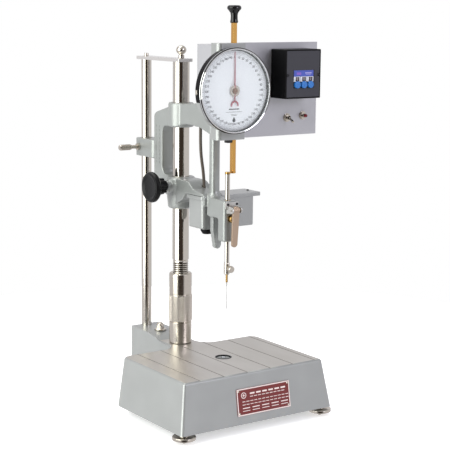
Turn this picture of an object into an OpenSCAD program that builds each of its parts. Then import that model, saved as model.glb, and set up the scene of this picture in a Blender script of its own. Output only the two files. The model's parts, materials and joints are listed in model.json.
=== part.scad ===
// Semi-automatic laboratory penetrometer: a heavy base on three levelling screws, a column with a
// fine-adjusting nut, a C-shaped head that slides on it, a dial driven by a rack, a falling stem that
// carries the needle, and a control panel with a timer.
// The modules work from the column's axis at the base's lower edge; place() moves the whole to its origin.

/* [Base] */
// Width of the base at its lower edge
base_w = 266; // [250:1:280]
// Distance from the column's axis to the base's front lower edge
base_front = 211; // [200:1:225]
// Distance from the column's axis to the base's rear wall
base_rear = 26; // [24:1:30]
// Height of the base to its machined top
base_h = 72; // [68:1:78]
// How far the front and side walls lean in over the base's height
base_draft = 11; // [6:1:14]
// Half width of the tail that carries the guide rod
tail_half = 25; // [24:1:30]
// Distance from the column's axis to the tail's end
tail_end = 115; // [112:1:120]
// Height of the tail's top
tail_h = 79; // [76:1:84]
// Gap from the table to the base's lower edge
foot_drop = 14; // [13:1:16]
// Diameter of a levelling screw's knurled disc
foot_d = 34; // [30:1:36]
// Spacing of the grooves in the machined top
groove_pitch = 40.9; // [38:0.1:42]

/* [Column] */
// Diameter of the column
column_d = 25.4; // [25.4:0.1:25.4]
// Height of the top of the column and of the guide rod
column_top = 506; // [490:1:520]
// Diameter of the guide rod
rod_d = 15.9; // [15.9:0.1:15.9]
// Distance from the column's axis to the guide rod's axis
rod_y = 100.6; // [100:0.2:101]
// Diameter of the fine-adjusting nut
nut_d = 35; // [34:1:38]
// Height of the top of the fine-adjusting nut
nut_top = 183; // [175:1:190]

/* [Head] */
// Half thickness of the arms and the spine of the head casting
arm_half = 12; // [11:1:14]
// Distance from the column's axis forward to the stem's axis
stem_y = 125; // [125:1:125]
// Diameter of the falling stem
stem_d = 7; // [6.6:0.1:7.2]
// Height of the top of the falling stem
stem_top = 349; // [345:1:350]
// Height of the needle's point
needle_tip = 144.8; // [144:0.2:150]

/* [Dial and rack] */
// Height of the dial's axis
dial_z = 470.3; // [468:0.1:472]
// Radius of the dial's bezel
dial_r = 62; // [60:1:63]
// Travel of the rack for one turn of the main hand
turn_travel = 40; // [40:1:40]
// Teeth on the pinion
pinion_teeth = 20; // [20:1:20]
// Side of the square rack bar
rack_side = 6.2; // [6:0.1:6.4]
// Height of the top of the rack's knob
knob_top = 591; // [585:1:595]

/* [Control panel] */
// Distance from the column's plane of symmetry to the panel's right edge
panel_right = 172; // [168:1:176]
// Height of the panel's lower edge
panel_z0 = 399; // [396:1:400]
// Height of the panel's upper edge
panel_z1 = 537.5; // [536:0.5:540]
// Distance from the column's axis forward to the panel's front
panel_y = 111; // [111:1:111]

/* [Hidden] */
$fn = 64;

paint = "#b9bdb9";
bare_metal = "#b8b4ad";
nickel = "#c2bdb4";
brass = "#c89b55";
black = "#1b1b1d";

run_gap = 0.05;      // radial clearance of a running fit
clear = 0.3;         // gap between bodies that pass each other
foot_x = 121;
foot_y = -198;
rear_foot_y = 74;
origin_x = (panel_right - foot_x - foot_d / 2) / 2;
origin_y = (tail_end + foot_y - foot_d / 2) / 2;
wall_angle = atan(base_draft / base_h);

pitch_r = turn_travel / (2 * PI);
tooth_pitch = turn_travel / pinion_teeth;
tooth_m = tooth_pitch / PI;
rack_x = pitch_r - tooth_m + rack_side / 2;
housing_front = 130.5;
drum_r = dial_r - 2;
lever_pivot = [0, -147, 299];
timer_x = 118.5;
timer_w = 65;
timer_d = 36;
timer_z0 = 456;
timer_z1 = 528;
toggle_at = [116.5, -panel_y, 425.4];
button_at = [146.2, -panel_y, 427.6];

// Moves a piece from the column's axis to the model's origin, on the table under the middle of its box
module place() { translate([-origin_x, -origin_y, foot_drop]) children(); }
// Points of an arc about c, from angle a0 to angle a1
function arc(c, r, a0, a1, n = 8) = [for (i = [0:n]) c + r * [cos(a0 + (a1 - a0) * i / n), sin(a0 + (a1 - a0) * i / n)]];
// A rectangle with round corners, centred, made of exact arcs
module round_rect(w, h, r) {
    square([w - 2 * r, h], center = true);
    square([w, h - 2 * r], center = true);
    for (x = [-1, 1], y = [-1, 1]) translate([x * (w / 2 - r), y * (h / 2 - r)]) circle(r);
}
// Turns a solid that stands on Z so that it points along -Y, along +Y or along -X
module to_front() { rotate([90, 0, 0]) children(); }
module to_left() { rotate([0, -90, 0]) children(); }
// Extrudes a side view, drawn in Y and Z, across X
module side_plate(half) { rotate([90, 0, 90]) translate([0, 0, -half]) linear_extrude(2 * half) children(); }

// ---------------------------------------------------------------- base
module base_shell(inset, top, rear_r) {
    bottom_w = base_w / 2 - inset;
    top_w = bottom_w - base_draft * top / base_h;
    front = -base_front + inset;
    front_top = front + base_draft * top / base_h;
    rear = -base_rear - inset;
    hull() {
        for (s = [-1, 1]) {
            translate([s * (bottom_w - 5), front + 5, 0]) cylinder(h = 0.01, r = 5, $fn = 32);
            translate([s * (bottom_w - rear_r), rear - rear_r, 0]) cylinder(h = 0.01, r = rear_r, $fn = 32);
            translate([s * (top_w - 4), front_top + 4, top - 0.01]) cylinder(h = 0.01, r = 4, $fn = 32);
            translate([s * (top_w - rear_r), rear - rear_r, top - 0.01]) cylinder(h = 0.01, r = rear_r, $fn = 32);
        }
    }
}
module tail_plan(half, end, r) {
    translate([-half, -base_rear - 20]) square([2 * half, end + base_rear + 20 - r]);
    translate([-half + r, 0]) square([2 * half - 2 * r, end]);
    for (s = [-1, 1]) translate([s * (half - r), end - r]) circle(r);
}
// Concave webs that carry the rear wall round into the tail
module tail_fillets(r) {
    for (s = [-1, 1]) difference() {
        translate([s > 0 ? tail_half - 1 : -tail_half - r, -base_rear - 1]) square([r + 1, r + 1]);
        translate([s * (tail_half + r), -base_rear + r]) circle(r);
    }
}
module tail_side() {
    ramp = arc([tail_end - 8, tail_h - 8], 8, 90, 0);
    polygon(concat([[-60, 0], [-60, base_h], [24, base_h], [34, base_h + 3.5], [50, tail_h - 1], [62, tail_h]],
        ramp, [[tail_end, 0]]));
}
module base_casting() place() color(paint) {
    difference() {
        union() {
            difference() {
                base_shell(0, base_h, 14);
                translate([0, 0, -1]) base_shell(9, base_h - 11, 10);
            }
            intersection() {
                side_plate(tail_half + 1) tail_side();
                translate([0, 0, -1]) linear_extrude(tail_h + 2) tail_plan(tail_half, tail_end, 12);
            }
            linear_extrude(base_h) tail_fillets(24);
            for (s = [-1, 1]) translate([s * foot_x, foot_y, 0]) cylinder(h = 22, r1 = 12.5, r2 = 8);
            intersection() {
                base_shell(1, base_h - 1, 12);
                for (s = [-1, 1]) translate([s * (foot_x - 2), foot_y + 2, 0]) cylinder(h = base_h - 2, r = 13);
            }
            translate([0, -8, 0]) cylinder(h = base_h - 1, r = 26);
        }
        translate([0, 0, -1]) cylinder(h = base_h + 12, r = 11.9 + run_gap);
        translate([0, rod_y, 10]) cylinder(h = tail_h, r = rod_d / 2 + run_gap);
        translate([0, 59, tail_h - 22]) cylinder(h = 40, r = 4.05);
        for (s = [-1, 1]) translate([s * foot_x, foot_y, -1]) cylinder(h = 33, r = 4.8);
        translate([0, rear_foot_y, -1]) cylinder(h = 33, r = 4.8);
        translate([5, -111, base_h - 8.5]) cylinder(h = 10, r = 12.6);
        for (i = [0:5]) translate([7.2 + (i - 2.5) * groove_pitch - 0.6, -base_front + 5, base_h - 0.7])
            cube([1.2, base_front - base_rear - 5, 2]);
        translate([0, 38, -1]) linear_extrude(base_h - 11) square([2 * tail_half - 16, 34], center = true);
    }
}
module level_housing() place() color(bare_metal) translate([5, -111, base_h - 8]) difference() {
    cylinder(h = 8.4, r = 12.5);
    translate([0, 0, 1.5]) cylinder(h = 8, r = 10.6);
}
module level_glass() place() color("#dfe3dc") translate([5, -111, base_h - 6.5]) rotate_extrude()
    polygon(concat([[0, 0], [10.6, 0], [10.6, 5.6]], [for (i = [0:8]) [10.6 - 10.6 * i / 8, 5.6 + 0.9 * (1 - pow(1 - i / 8, 2))]]));
// Carries a plate flat on the leaning front wall, with its centre at x and at height z
module on_front_wall(x, z) {
    translate([x, -base_front + base_draft * z / base_h, z]) rotate([-wall_angle, 0, 0]) to_front() children();
}
module nameplate() place() color("#7a2a30") on_front_wall(10, 31.5) linear_extrude(1.2) round_rect(94, 39, 2);
module nameplate_rivets() place() color(nickel) on_front_wall(10, 31.5)
    for (x = [-43.5, 43.5], y = [-16, 16]) translate([x, y, 1.2]) cylinder(h = 0.8, r1 = 1.5, r2 = 0.9);
module rod_clamp_bolt() place() color(nickel) translate([0, 59, tail_h]) {
    translate([0, 0, -17]) cylinder(h = 17.5, r = 4);
    translate([0, 0, 0.1]) cylinder(h = 1.9, r = 9.5);
    translate([0, 0, 2]) cylinder(h = 5.5, r = 6.6, $fn = 6);
    translate([0, 0, 7.5]) intersection() {
        cylinder(h = 6, r = 5.7);
        translate([0, 0, -1.2]) sphere(6.2);
    }
}
module levelling_screw() color(nickel) rotate_extrude() polygon([
    [0, -foot_drop], [2.6, -foot_drop], [3.2, -foot_drop + 0.6], [3.2, -9.6], [4.75, -9.6], [4.75, -8.6],
    [foot_d / 2 - 0.8, -8.6], [foot_d / 2, -7.8], [foot_d / 2, -4.4], [foot_d / 2 - 0.8, -3.6], [7, -3.6],
    [7, -2.6], [4.75, -2.6], [4.75, 27], [3.9, 28], [0, 28]]);
module foot_front_left() place() translate([-foot_x, foot_y, 0]) levelling_screw();
module foot_front_right() place() translate([foot_x, foot_y, 0]) levelling_screw();
module foot_rear() place() translate([0, rear_foot_y, 0]) levelling_screw();

// ---------------------------------------------------------------- column, guide rod and nut
thread_pitch = 3.175;
thread_r = 11.9;
thread_end = 203;
module column() place() color(nickel) difference() {
    rotate_extrude() polygon(concat(
        [[0, 18], [10.8, 18], [thread_r, 19.1], [thread_r, nut_top - 12]],
        [for (i = [0:9]) for (p = [[thread_r - 0.9, 0.4], [thread_r, 0.5]])
            [p[0], nut_top - 12 + (i + p[1]) * thread_pitch]],
        [[thread_r - 0.9, thread_end], [column_d / 2 - 0.8, thread_end], [column_d / 2, thread_end + 0.8],
         [column_d / 2, column_top], [0, column_top]]));
    translate([0, 0, column_top - 14]) cylinder(h = 20, r = 4.05);
}
module guide_rod() place() color(nickel) translate([0, rod_y, 0]) difference() {
    rotate_extrude() polygon([[0, 20], [rod_d / 2 - 1, 20], [rod_d / 2, 21], [rod_d / 2, column_top], [0, column_top]]);
    translate([0, 0, column_top - 12]) cylinder(h = 20, r = 3.05);
}
module tie_strap() place() color(nickel) translate([0, 0, column_top]) difference() {
    translate([0, 49, 0]) linear_extrude(5) round_rect(column_d, 123.6, 1.5);
    translate([0, 0, -1]) cylinder(h = 8, r = 4.1);
    translate([0, rod_y, -1]) cylinder(h = 8, r = 3.1);
}
module rod_cap_screw() place() color(nickel) translate([0, rod_y, column_top]) {
    translate([0, 0, -10]) cylinder(h = 15, r = 3);
    translate([0, 0, 5]) cylinder(h = 4.4, r1 = 3.6, r2 = 3.2);
}
module top_ball_screw() place() color(nickel) translate([0, 0, column_top]) rotate_extrude() polygon(concat(
    [[0, -12], [4, -12], [4, 5.2], [4.6, 5.2], [4.6, 9.4], [3, 10.4], [3, 11.2]],
    [for (a = [-62:8:90]) [7.8 * cos(a), 17.6 + 6.9 * sin(a)]], [[0, 24.5]]));
module adjusting_nut() place() color(nickel) rotate_extrude() polygon([
    [thread_r + run_gap, base_h + clear], [nut_d / 2 - 1, base_h + clear], [nut_d / 2, base_h + clear + 1],
    [nut_d / 2, 105], [nut_d / 2 - 0.8, 105.4], [nut_d / 2 - 0.8, 106], [nut_d / 2 + 0.2, 106.8],
    [nut_d / 2 + 0.2, 148.2], [nut_d / 2 - 0.8, 149], [nut_d / 2 - 0.8, 149.6], [nut_d / 2, 150],
    [nut_d / 2, nut_top - 2], [nut_d / 2 - 2, nut_top], [thread_r + run_gap, nut_top]]);

// ---------------------------------------------------------------- head casting
sleeve_r = 19.5;
block_front = stem_y + 9.5;
module spine_side() {
    polygon(concat([[0, 300], [24, 302]], arc([36, 340], 25, -70, 0), arc([46, 414], 15, 0, 80), [[18, 437.5], [0, 438]],
        [[0, 408], [20, 408]], arc([23, 396], 12, 90, 0), arc([23, 345], 12, 0, -90), [[0, 333]]));
}
module upper_arm_side() {
    polygon(concat([[0, 412], [-16, 412], [-30, 414.5]], arc([-60, 440], 27, -70, -100, 4), [[-84, 408], [-98, 404]],
        [[-98, 435], [-88, 436]], arc([-56, 418], 29, 122, 90, 4), [[-16, 444], [0, 444]]));
}
module lower_arm_side() {
    polygon(concat([[0, 292], [-16, 294], [-30, 301], [-39, lid_top], [lid_y0 - 0.4, lid_top], [lid_y0 - 0.4, 298],
        [-90, 298], [-90, 312], [-84, 316], [-60, 320]],
        arc([-38, 309], 22, 120, 90, 4), [[-16, 331], [0, 331]]));
}
// Finger rest that hangs from the block and tapers to a round tip
module finger_rest() translate([0, -98, 0]) rotate([90, 0, 0]) linear_extrude(8, center = true) {
    polygon([[-9.6, 292], [9.6, 292], [9.2, 262], [5.4, 240.5], [-5.4, 240.5], [-9.2, 262]]);
    translate([0, 241]) circle(5.5);
}
module head_casting() place() color(paint) difference() {
    union() {
        translate([0, 0, 408]) rotate_extrude() polygon(
            [[0, 0], [sleeve_r - 1.5, 0], [sleeve_r, 1.5], [sleeve_r, 35], [sleeve_r - 1.5, 37], [0, 37]]);
        translate([0, 0, 284]) rotate_extrude() polygon(
            [[0, 0], [18, 0], [19.5, 2], [22.5, 30], [23.5, 38], [22, 46], [20, 48.5], [0, 48.5]]);
        intersection() {
            side_plate(arm_half) spine_side();
            translate([0, 18, 290]) linear_extrude(160) round_rect(2 * arm_half, 86, 4);
        }
        translate([0, 85, 355]) linear_extrude(28) round_rect(29, 53, 5);
        side_plate(arm_half) upper_arm_side();
        side_plate(17) lower_arm_side();
        translate([0, -91, 300]) linear_extrude(120) round_rect(14, 13, 4.5);
        translate([0, -91, lid_top]) cylinder(h = 7.3, r1 = 10.5, r2 = 7);
        translate([0, -107, 284]) linear_extrude(lid_top - 284) round_rect(23, 40, 3);
        translate([0, -stem_y, 251]) linear_extrude(60) round_rect(23, 2 * 9.5, 4);
        finger_rest();
        translate([-16, 0, 319]) to_left() cylinder(h = 12, r1 = 11, r2 = 8);
    }
    translate([0, 0, 280]) cylinder(h = 170, r = column_d / 2 + run_gap);
    translate([0, 0, 334]) cylinder(h = 73, r = 33);
    translate([0, rod_y, 350]) cylinder(h = 40, r = rod_d / 2 + run_gap);
    translate([-10, 0, 319]) to_left() cylinder(h = 25, r = 4.05);
    translate([-5, rod_y, 369]) to_left() cylinder(h = 25, r = 3.05);
    translate([0, -stem_y, 240]) cylinder(h = 80, r = 5);
    translate([0, -stem_y, 285]) to_front() cylinder(h = 15, r = 5.05);
    translate([cable_route[0].x, cable_route[0].y, 400]) cylinder(h = 20, r = cable_r + clear);
    translate([5, -56, 300]) cylinder(h = 40, r = cable_r + clear);
}
module clamp_knob() place() color(black) translate([0, 0, 319]) to_left() {
    translate([0, 0, 15]) cylinder(h = 20, r = 4);
    rotate_extrude() polygon(concat([[0, 28.4], [8, 28.4], [9.6, 31], [10.4, 36], [9.8, 42], [13, 46]],
        [[21, 48], [23, 50.5], [23.2, 54], [22, 56.6], [19, 57.4]], [[15, 55.8], [8, 55.2], [0, 55]]));
    for (i = [0:7]) rotate(i * 45) translate([10.2, 0, 31]) cylinder(h = 13, r1 = 1.8, r2 = 3.2);
}
module guide_screw() place() color(nickel) translate([0, rod_y, 369]) to_left() {
    translate([0, 0, 8.2]) cylinder(h = 28, r = 3);
    translate([0, 0, 14.8]) cylinder(h = 3, r = 5.4);
    translate([0, 0, 17.8]) cylinder(h = 12, r1 = 2.6, r2 = 2);
    translate([0, 0, 28]) rotate_extrude() polygon([[0, 0], [3, 0], [4.1, 1], [4.4, 3], [4.4, 20], [3.6, 21.5], [0, 21.5]]);
}

// ---------------------------------------------------------------- gear housing, chassis and screws
housing_x0 = -21;
housing_x1 = 25.5;
seat_z = 455;
module housing_plan(inset) {
    x0 = housing_x0 + inset;
    x1 = housing_x1 - inset;
    y0 = -housing_front + inset * 0.7;
    r = 8 - inset;
    difference() {
        translate([x0, y0]) square([x1 - x0, housing_front - panel_y - inset * 0.7 + (inset > 0 ? 1 : 0)]);
        difference() {
            translate([x0 - 1, y0 - 1]) square(r + 1);
            translate([x0 + r, y0 + r]) circle(r);
        }
    }
}
module gear_housing() place() color(paint) difference() {
    union() {
        translate([0, 0, panel_z0]) linear_extrude(panel_z1 - panel_z0) housing_plan(0);
        intersection() {
            translate([0, -housing_front + 2, dial_z]) to_front() cylinder(h = 8.5, r = drum_r - 0.5);
            translate([-dial_r, -dial_r - housing_front, seat_z - 80]) cube([2 * dial_r, 2 * dial_r, 80]);
        }
    }
    translate([0, 0, panel_z0 + 3]) linear_extrude(panel_z1 - panel_z0 - 6) housing_plan(3);
    translate([rack_x, -stem_y, panel_z0 - 1]) linear_extrude(160)
        square([rack_side + 0.6, rack_side + 0.6], center = true);
    translate([0, -housing_front + 8, dial_z]) to_front() cylinder(h = 40, r = 4.5);
}
module bearing_bushes() place() color(brass) translate([0, 0, dial_z]) {
    translate([0, -housing_front + 2.1, 0]) to_front() difference() {
        cylinder(h = 5.4, r = 4.5);
        translate([0, 0, -1]) cylinder(h = 10, r = 2 + run_gap);
    }
    translate([0, -panel_y, 0]) to_front() difference() {
        cylinder(h = 4, r = 4.5);
        translate([0, 0, -1]) cylinder(h = 10, r = 2 + run_gap);
    }
}
module chassis_panel() place() color(paint) difference() {
    translate([housing_x0 + 1, -panel_y, panel_z0]) cube([panel_right - housing_x0 - 1, 2, panel_z1 - panel_z0]);
    translate(toggle_at + [0, 5, 0]) to_front() cylinder(h = 10, r = 3.05);
    translate(button_at + [0, 5, 0]) to_front() cylinder(h = 10, r = 3.05);
}
module chassis_cover() place() color(paint) difference() {
    translate([-19, -panel_y + 2, 402]) cube([panel_right - 2 + 19, 37, 133]);
    translate([-17.4, -panel_y + 1, 403.6]) cube([panel_right - 2 + 19 - 3.2, 36.4, 129.8]);
    translate([-arm_half - 0.5, -panel_y, 400]) cube([2 * arm_half + 1, 45, 48]);
    for (i = [0:5]) translate([60 + i * 14, -panel_y + 36, 500]) cube([5, 6, 22]);
}
module pan_screw(r = 2.6) { cylinder(h = 1.6, r1 = r, r2 = r * 0.6); }
module small_screws() place() color(nickel) {
    for (x = [panel_right - 6, 40], z = [panel_z0 + 6, panel_z1 - 6])
        translate([x, -panel_y, z]) to_front() pan_screw();
    translate([70, -60, lid_z + 5.6]) pan_screw(2.2);
    translate([lid_x1 - 6, -64, lid_z + 5.6]) pan_screw(2.2);
    for (s = [-1, 1]) translate([timer_x + s * 28.5, -panel_y - timer_d - 0.6, 489.5]) to_front() pan_screw(2);
    for (p = [[-7.2, 306.5], [8.4, 306.5]]) translate([p[0], -block_front - 2.6, p[1]]) to_front() pan_screw(1.9);
}

// ---------------------------------------------------------------- dial
module dial_ring(y0, y1) { translate([0, y0, dial_z]) to_front() linear_extrude(y0 - y1) children(); }
module dial_drum() place() color(black) difference() {
    union() {
        translate([0, -housing_front - 6.6, dial_z]) to_front() cylinder(h = 5.4, r = drum_r);
        intersection() {
            translate([0, -housing_front, dial_z]) to_front() cylinder(h = 8, r = drum_r);
            translate([-dial_r, -dial_r - housing_front, seat_z]) cube([2 * dial_r, 2 * dial_r, 2 * dial_r]);
        }
        translate([-drum_r - 1.6, -housing_front - 6, dial_z - 4]) cube([4, 4, 6]);
    }
    translate([0, -housing_front - 8, dial_z]) to_front() cylinder(h = 12, r = drum_r - 2.5);
    translate([0, -housing_front + 5, dial_z]) to_front() cylinder(h = 20, r = 4.6);
}
module dial_bezel() place() color("#d8d8d8") translate([0, -housing_front, dial_z]) to_front() rotate_extrude()
    polygon([[drum_r + clear / 3, 9], [dial_r, 9], [dial_r, 13.2], [dial_r - 1, 14.6], [dial_r - 3, 15.2],
             [dial_r - 5.2, 14.4], [dial_r - 5.6, 13.4], [dial_r - 3.6, 13.4], [dial_r - 3.6, 14.05], [drum_r + clear / 3, 14.05]]);
module dial_face() place() color("white") difference() {
    dial_ring(-housing_front - 8.1, -housing_front - 8.9) circle(drum_r - 2.7);
    dial_ring(-housing_front - 5, -housing_front - 12) circle(2.4);
}
module dial_glass() place() color([0.8, 0.85, 0.85, 0.3])
    dial_ring(-housing_front - 12.2, -housing_front - 13.3) circle(dial_r - 3.8);
// A slim hand that points up, with a ring hub and a crescent on its tail
module hand(hub_r, bore_r, tail) {
    difference() {
        union() {
            circle(hub_r);
            polygon([[-1.0, 0], [1.0, 0], [0.35, 52], [-0.35, 52]]);
            translate([-0.8, -tail]) square([1.6, tail]);
            translate([0, -tail - 4]) difference() {
                circle(5.2);
                translate([0, -2.2]) circle(4.8);
            }
        }
        circle(bore_r);
    }
}
module zero_hand() place() color("#c98a92")
    dial_ring(-housing_front - 9.4, -housing_front - 9.9) hand(5.5, 2.1, 12);
module main_hand() place() color("#b97b84") difference() {
    union() {
        dial_ring(-housing_front - 10.3, -housing_front - 10.8) hand(5, 1, 12);
        dial_ring(-housing_front - 10.2, -housing_front - 11.7) circle(4.2);
    }
    dial_ring(-housing_front - 5, -housing_front - 15) circle(2);
}
// Involute flank of the pinion: angle swept by the unwinding string at radius r
base_circle = pitch_r * cos(20);
function inv(r) = sqrt(pow(r / base_circle, 2) - 1) * 180 / PI - acos(base_circle / r);
half_tooth = 90 / pinion_teeth - 0.55;
function flank(r) = half_tooth + inv(pitch_r) - inv(r);
tooth_radii = [for (i = [0:5]) max(base_circle + 0.001, pitch_r - 0.55) + i * (0.55 + tooth_m * 0.9) / 5];
module pinion_outline() polygon([for (t = [0:pinion_teeth - 1]) let (mid = t * 360 / pinion_teeth)
    for (p = concat(
        [[pitch_r - 1.2 * tooth_m, -half_tooth - 1.2]],
        [for (r = tooth_radii) if (r < pitch_r + 0.9 * tooth_m) [r, -flank(r)]],
        [for (i = [5:-1:0]) if (tooth_radii[i] < pitch_r + 0.9 * tooth_m) [tooth_radii[i], flank(tooth_radii[i])]],
        [[pitch_r - 1.2 * tooth_m, half_tooth + 1.2]]))
    p[0] * [cos(mid + p[1]), sin(mid + p[1])]]);
module pinion() place() color(brass) translate([0, 0, dial_z]) {
    translate([0, -stem_y + 3, 0]) to_front() linear_extrude(3) pinion_outline();
    translate([0, -panel_y - 0.5, 0]) to_front() cylinder(h = housing_front + 11.6 - panel_y - 0.5, r = 2);
}

// ---------------------------------------------------------------- rack
rack_foot_z = 350;
rack_top = 568;
// Straight-sided rack teeth that face the pinion, with a tooth gap at the dial's height
module rack_teeth() {
    slope = tan(20);
    half_gap = tooth_pitch / 4 + 0.12;
    for (i = [-22:16]) translate([0, dial_z + i * tooth_pitch]) polygon([
        [pitch_r - tooth_m - 0.5, -half_gap - (tooth_m + 0.5) * slope],
        [pitch_r + 1.15 * tooth_m, -half_gap + 1.15 * tooth_m * slope],
        [pitch_r + 1.15 * tooth_m, half_gap - 1.15 * tooth_m * slope],
        [pitch_r - tooth_m - 0.5, half_gap + (tooth_m + 0.5) * slope]]);
}
module rack_bar() place() color(brass) difference() {
    union() {
        translate([rack_x - rack_side / 2, -stem_y - rack_side / 2, rack_foot_z])
            cube([rack_side, rack_side, rack_top - rack_foot_z]);
        translate([rack_x, -stem_y - rack_side / 2, rack_foot_z + 2.4]) to_front() cylinder(h = 1.6, r = 2.3);
    }
    translate([0, -stem_y + rack_side, 0]) to_front() linear_extrude(2 * rack_side) rack_teeth();
}
module rack_knob() place() color(black) translate([rack_x, -stem_y, 0]) difference() {
    rotate_extrude() polygon(concat([[0, 566], [5.4, 566], [5.8, 567.5], [5.2, 571], [5.0, 576], [5.6, 580]],
        arc([6.5, 587.2], 3.8, -60, 90, 8), [[0, knob_top]]));
    translate([-rack_side / 2, -rack_side / 2, 560]) cube([rack_side, rack_side, rack_top - 560]);
}
module bump_stop() place() color(black) translate([0.4, -stem_y, panel_z0 - 4.2])
    linear_extrude(4.2) round_rect(8.6, 9, 1.5);

// ---------------------------------------------------------------- timer and switches
timer_front_y = -panel_y - timer_d;
module timer_box(y0, y1, inset, r) {
    translate([timer_x, y0, (timer_z0 + timer_z1) / 2]) to_front() linear_extrude(y0 - y1)
        round_rect(timer_w - 2 * inset, timer_z1 - timer_z0 - 2 * inset, r);
}
button_z = 476.5;
button_dx = 12.2;
button_x0 = timer_x + 1;
module timer_case() place() color(black) difference() {
    timer_box(-panel_y, timer_front_y, 0, 1.5);
    timer_box(-panel_y - 2, timer_front_y - 1, 2.2, 1);
}
module timer_front() place() color("#4a4a50") difference() {
    timer_box(timer_front_y + 3, timer_front_y, 2.2, 1);
    translate([button_x0, timer_front_y, 484.5]) cube([39, 2, 26], center = true);
    for (i = [-1:1]) translate([button_x0 + i * button_dx, timer_front_y + 5, button_z]) to_front()
        cylinder(h = 10, r = 5.6);
}
module timer_display() place() color("#5a66b0") {
    translate([button_x0, timer_front_y + 0.6, 493]) cube([36, 0.8, 8], center = true);
    for (i = [-1:1]) translate([button_x0 + i * button_dx, timer_front_y + 0.6, 486]) cube([8, 0.8, 5.4], center = true);
}
module timer_button(i) place() color("#2c6fb4") translate([button_x0 + i * button_dx, timer_front_y, button_z])
    translate([0, 2.8, 0]) to_front() rotate_extrude()
        polygon(concat([[0, 0], [5.2, 0]], arc([4.2, 4.6], 1, 0, 90, 5), [[0, 6]]));
module timer_button_left() timer_button(-1);
module timer_button_middle() timer_button(0);
module timer_button_right() timer_button(1);
module switch_bushing(bore) difference() {
    union() {
        translate([0, 0, -12]) cylinder(h = 12, r = 3);
        cylinder(h = 1, r = 6.4);
        translate([0, 0, 1]) cylinder(h = 2.4, r = 5.8, $fn = 6);
        translate([0, 0, 3.4]) cylinder(h = 3.6, r = 3);
    }
    translate([0, 0, -4]) cylinder(h = 14, r = bore);
}
module toggle_bushing() place() color(nickel) translate(toggle_at) to_front() switch_bushing(2.6);
module toggle_lever() place() color(nickel) translate(toggle_at + [0, -6.2, 0]) rotate([28, 0, 0]) to_front() {
    rotate([0, 90, 0]) cylinder(h = 3, r = 2, center = true);
    cylinder(h = 11, r1 = 1.1, r2 = 1.9);
    translate([0, 0, 11]) sphere(1.9, $fn = 32);
}
module button_bushing() place() color(nickel) translate(button_at) to_front() switch_bushing(2.7);
module push_button() place() color("#8a1f25") translate(button_at) to_front() rotate_extrude()
    polygon(concat([[0, 0.2], [2.4, 0.2], [2.4, 9.2]], arc([1.4, 9.2], 1, 0, 90, 4), [[0, 10.2]]));

// ---------------------------------------------------------------- solenoid box and cable
lid_x0 = -17;
lid_x1 = 91;
lid_y0 = -84;
lid_y1 = -40;
lid_z = 306;
lid_top = lid_z + 5.7;
box_x0 = -15;
box_x1 = 79;
box_z0 = 262;
module box_plan(inset) translate([(box_x0 + box_x1) / 2, (lid_y0 + lid_y1) / 2 - 1])
    round_rect(box_x1 - box_x0 - 2 * inset, lid_y1 - lid_y0 - 4 - 2 * inset, 5 - inset / 2);
module box_front(inset) translate([(box_x0 + box_x1) / 2, (box_z0 + lid_z + 6) / 2])
    round_rect(box_x1 - box_x0 - 2 * inset, lid_z + 6 - box_z0 - 2 * inset, 4);
module box_solid(inset, top) intersection() {
    translate([0, 0, box_z0 - 1]) linear_extrude(top - box_z0 + 1) box_plan(inset);
    translate([0, 0, 0]) to_front() linear_extrude(120) box_front(inset);
}
module solenoid_box() place() color(paint) difference() {
    box_solid(0, lid_z);
    box_solid(2.5, lid_z + 1);
    translate([0, -72, box_z0 - 1]) cylinder(h = 5, r = 5.05);
}
module solenoid_lid() place() color(paint) difference() {
    translate([(lid_x0 + lid_x1) / 2, (lid_y0 + lid_y1) / 2, lid_z]) linear_extrude(5.6)
        round_rect(lid_x1 - lid_x0, lid_y1 - lid_y0, 4);
    translate([5, -56, lid_z - 1]) cylinder(h = 10, r = 2.5);
}
module solenoid() place() color("#8a5a2a") translate([34, -78, 285]) rotate([-90, 0, 0]) {
    cylinder(h = 2, r = 15);
    translate([0, 0, 2]) cylinder(h = 24, r = 13);
    translate([0, 0, 26]) cylinder(h = 2, r = 15);
}
module cable_gland() place() color(black) translate([0, -72, box_z0]) rotate([180, 0, 0]) {
    translate([0, 0, -2]) cylinder(h = 2.5, r = 5);
    cylinder(h = 3, r = 9.5);
    translate([0, 0, 3]) cylinder(h = 5, r1 = 9.5, r2 = 6.5);
}
cable_r = 2.3;
cable_route = [[-5, -61, 419], [-5, -61, 412], [-5, -61, 404], [-5, -61, 396], [-4.8, -61, 388], [-4.3, -60.8, 380],
    [-3.4, -60.4, 372], [-2.2, -60, 365], [-0.8, -59.4, 358], [0.8, -58.8, 351], [2.3, -58, 344], [3.6, -57.2, 337],
    [4.6, -56.5, 330], [5, -56, 323], [5, -56, 315], [5, -56, 306.2]];
function unit(v) = v / norm(v);
function heading(p, i) = unit(p[min(i + 1, len(p) - 1)] - p[max(i - 1, 0)]);
// A round cord swept along its route, with a ring of points square to it at each stop
module cord(p, r, sides = 8) {
    n = len(p);
    rings = [for (i = [0:n - 1]) let (t = heading(p, i), u = unit(cross(t, [1, 0, 0])), v = cross(t, u))
        for (k = [0:sides - 1]) p[i] + r * (cos(k * 360 / sides) * u + sin(k * 360 / sides) * v)];
    sides_faces = [for (i = [0:n - 2], k = [0:sides - 1]) [i * sides + k, i * sides + (k + 1) % sides,
        (i + 1) * sides + (k + 1) % sides, (i + 1) * sides + k]];
    polyhedron(rings, concat(sides_faces, [[for (k = [sides - 1:-1:0]) k]],
        [[for (k = [0:sides - 1]) (n - 1) * sides + k]]));
}
module control_cable() place() color("#6d6257") cord(cable_route, cable_r);

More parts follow.
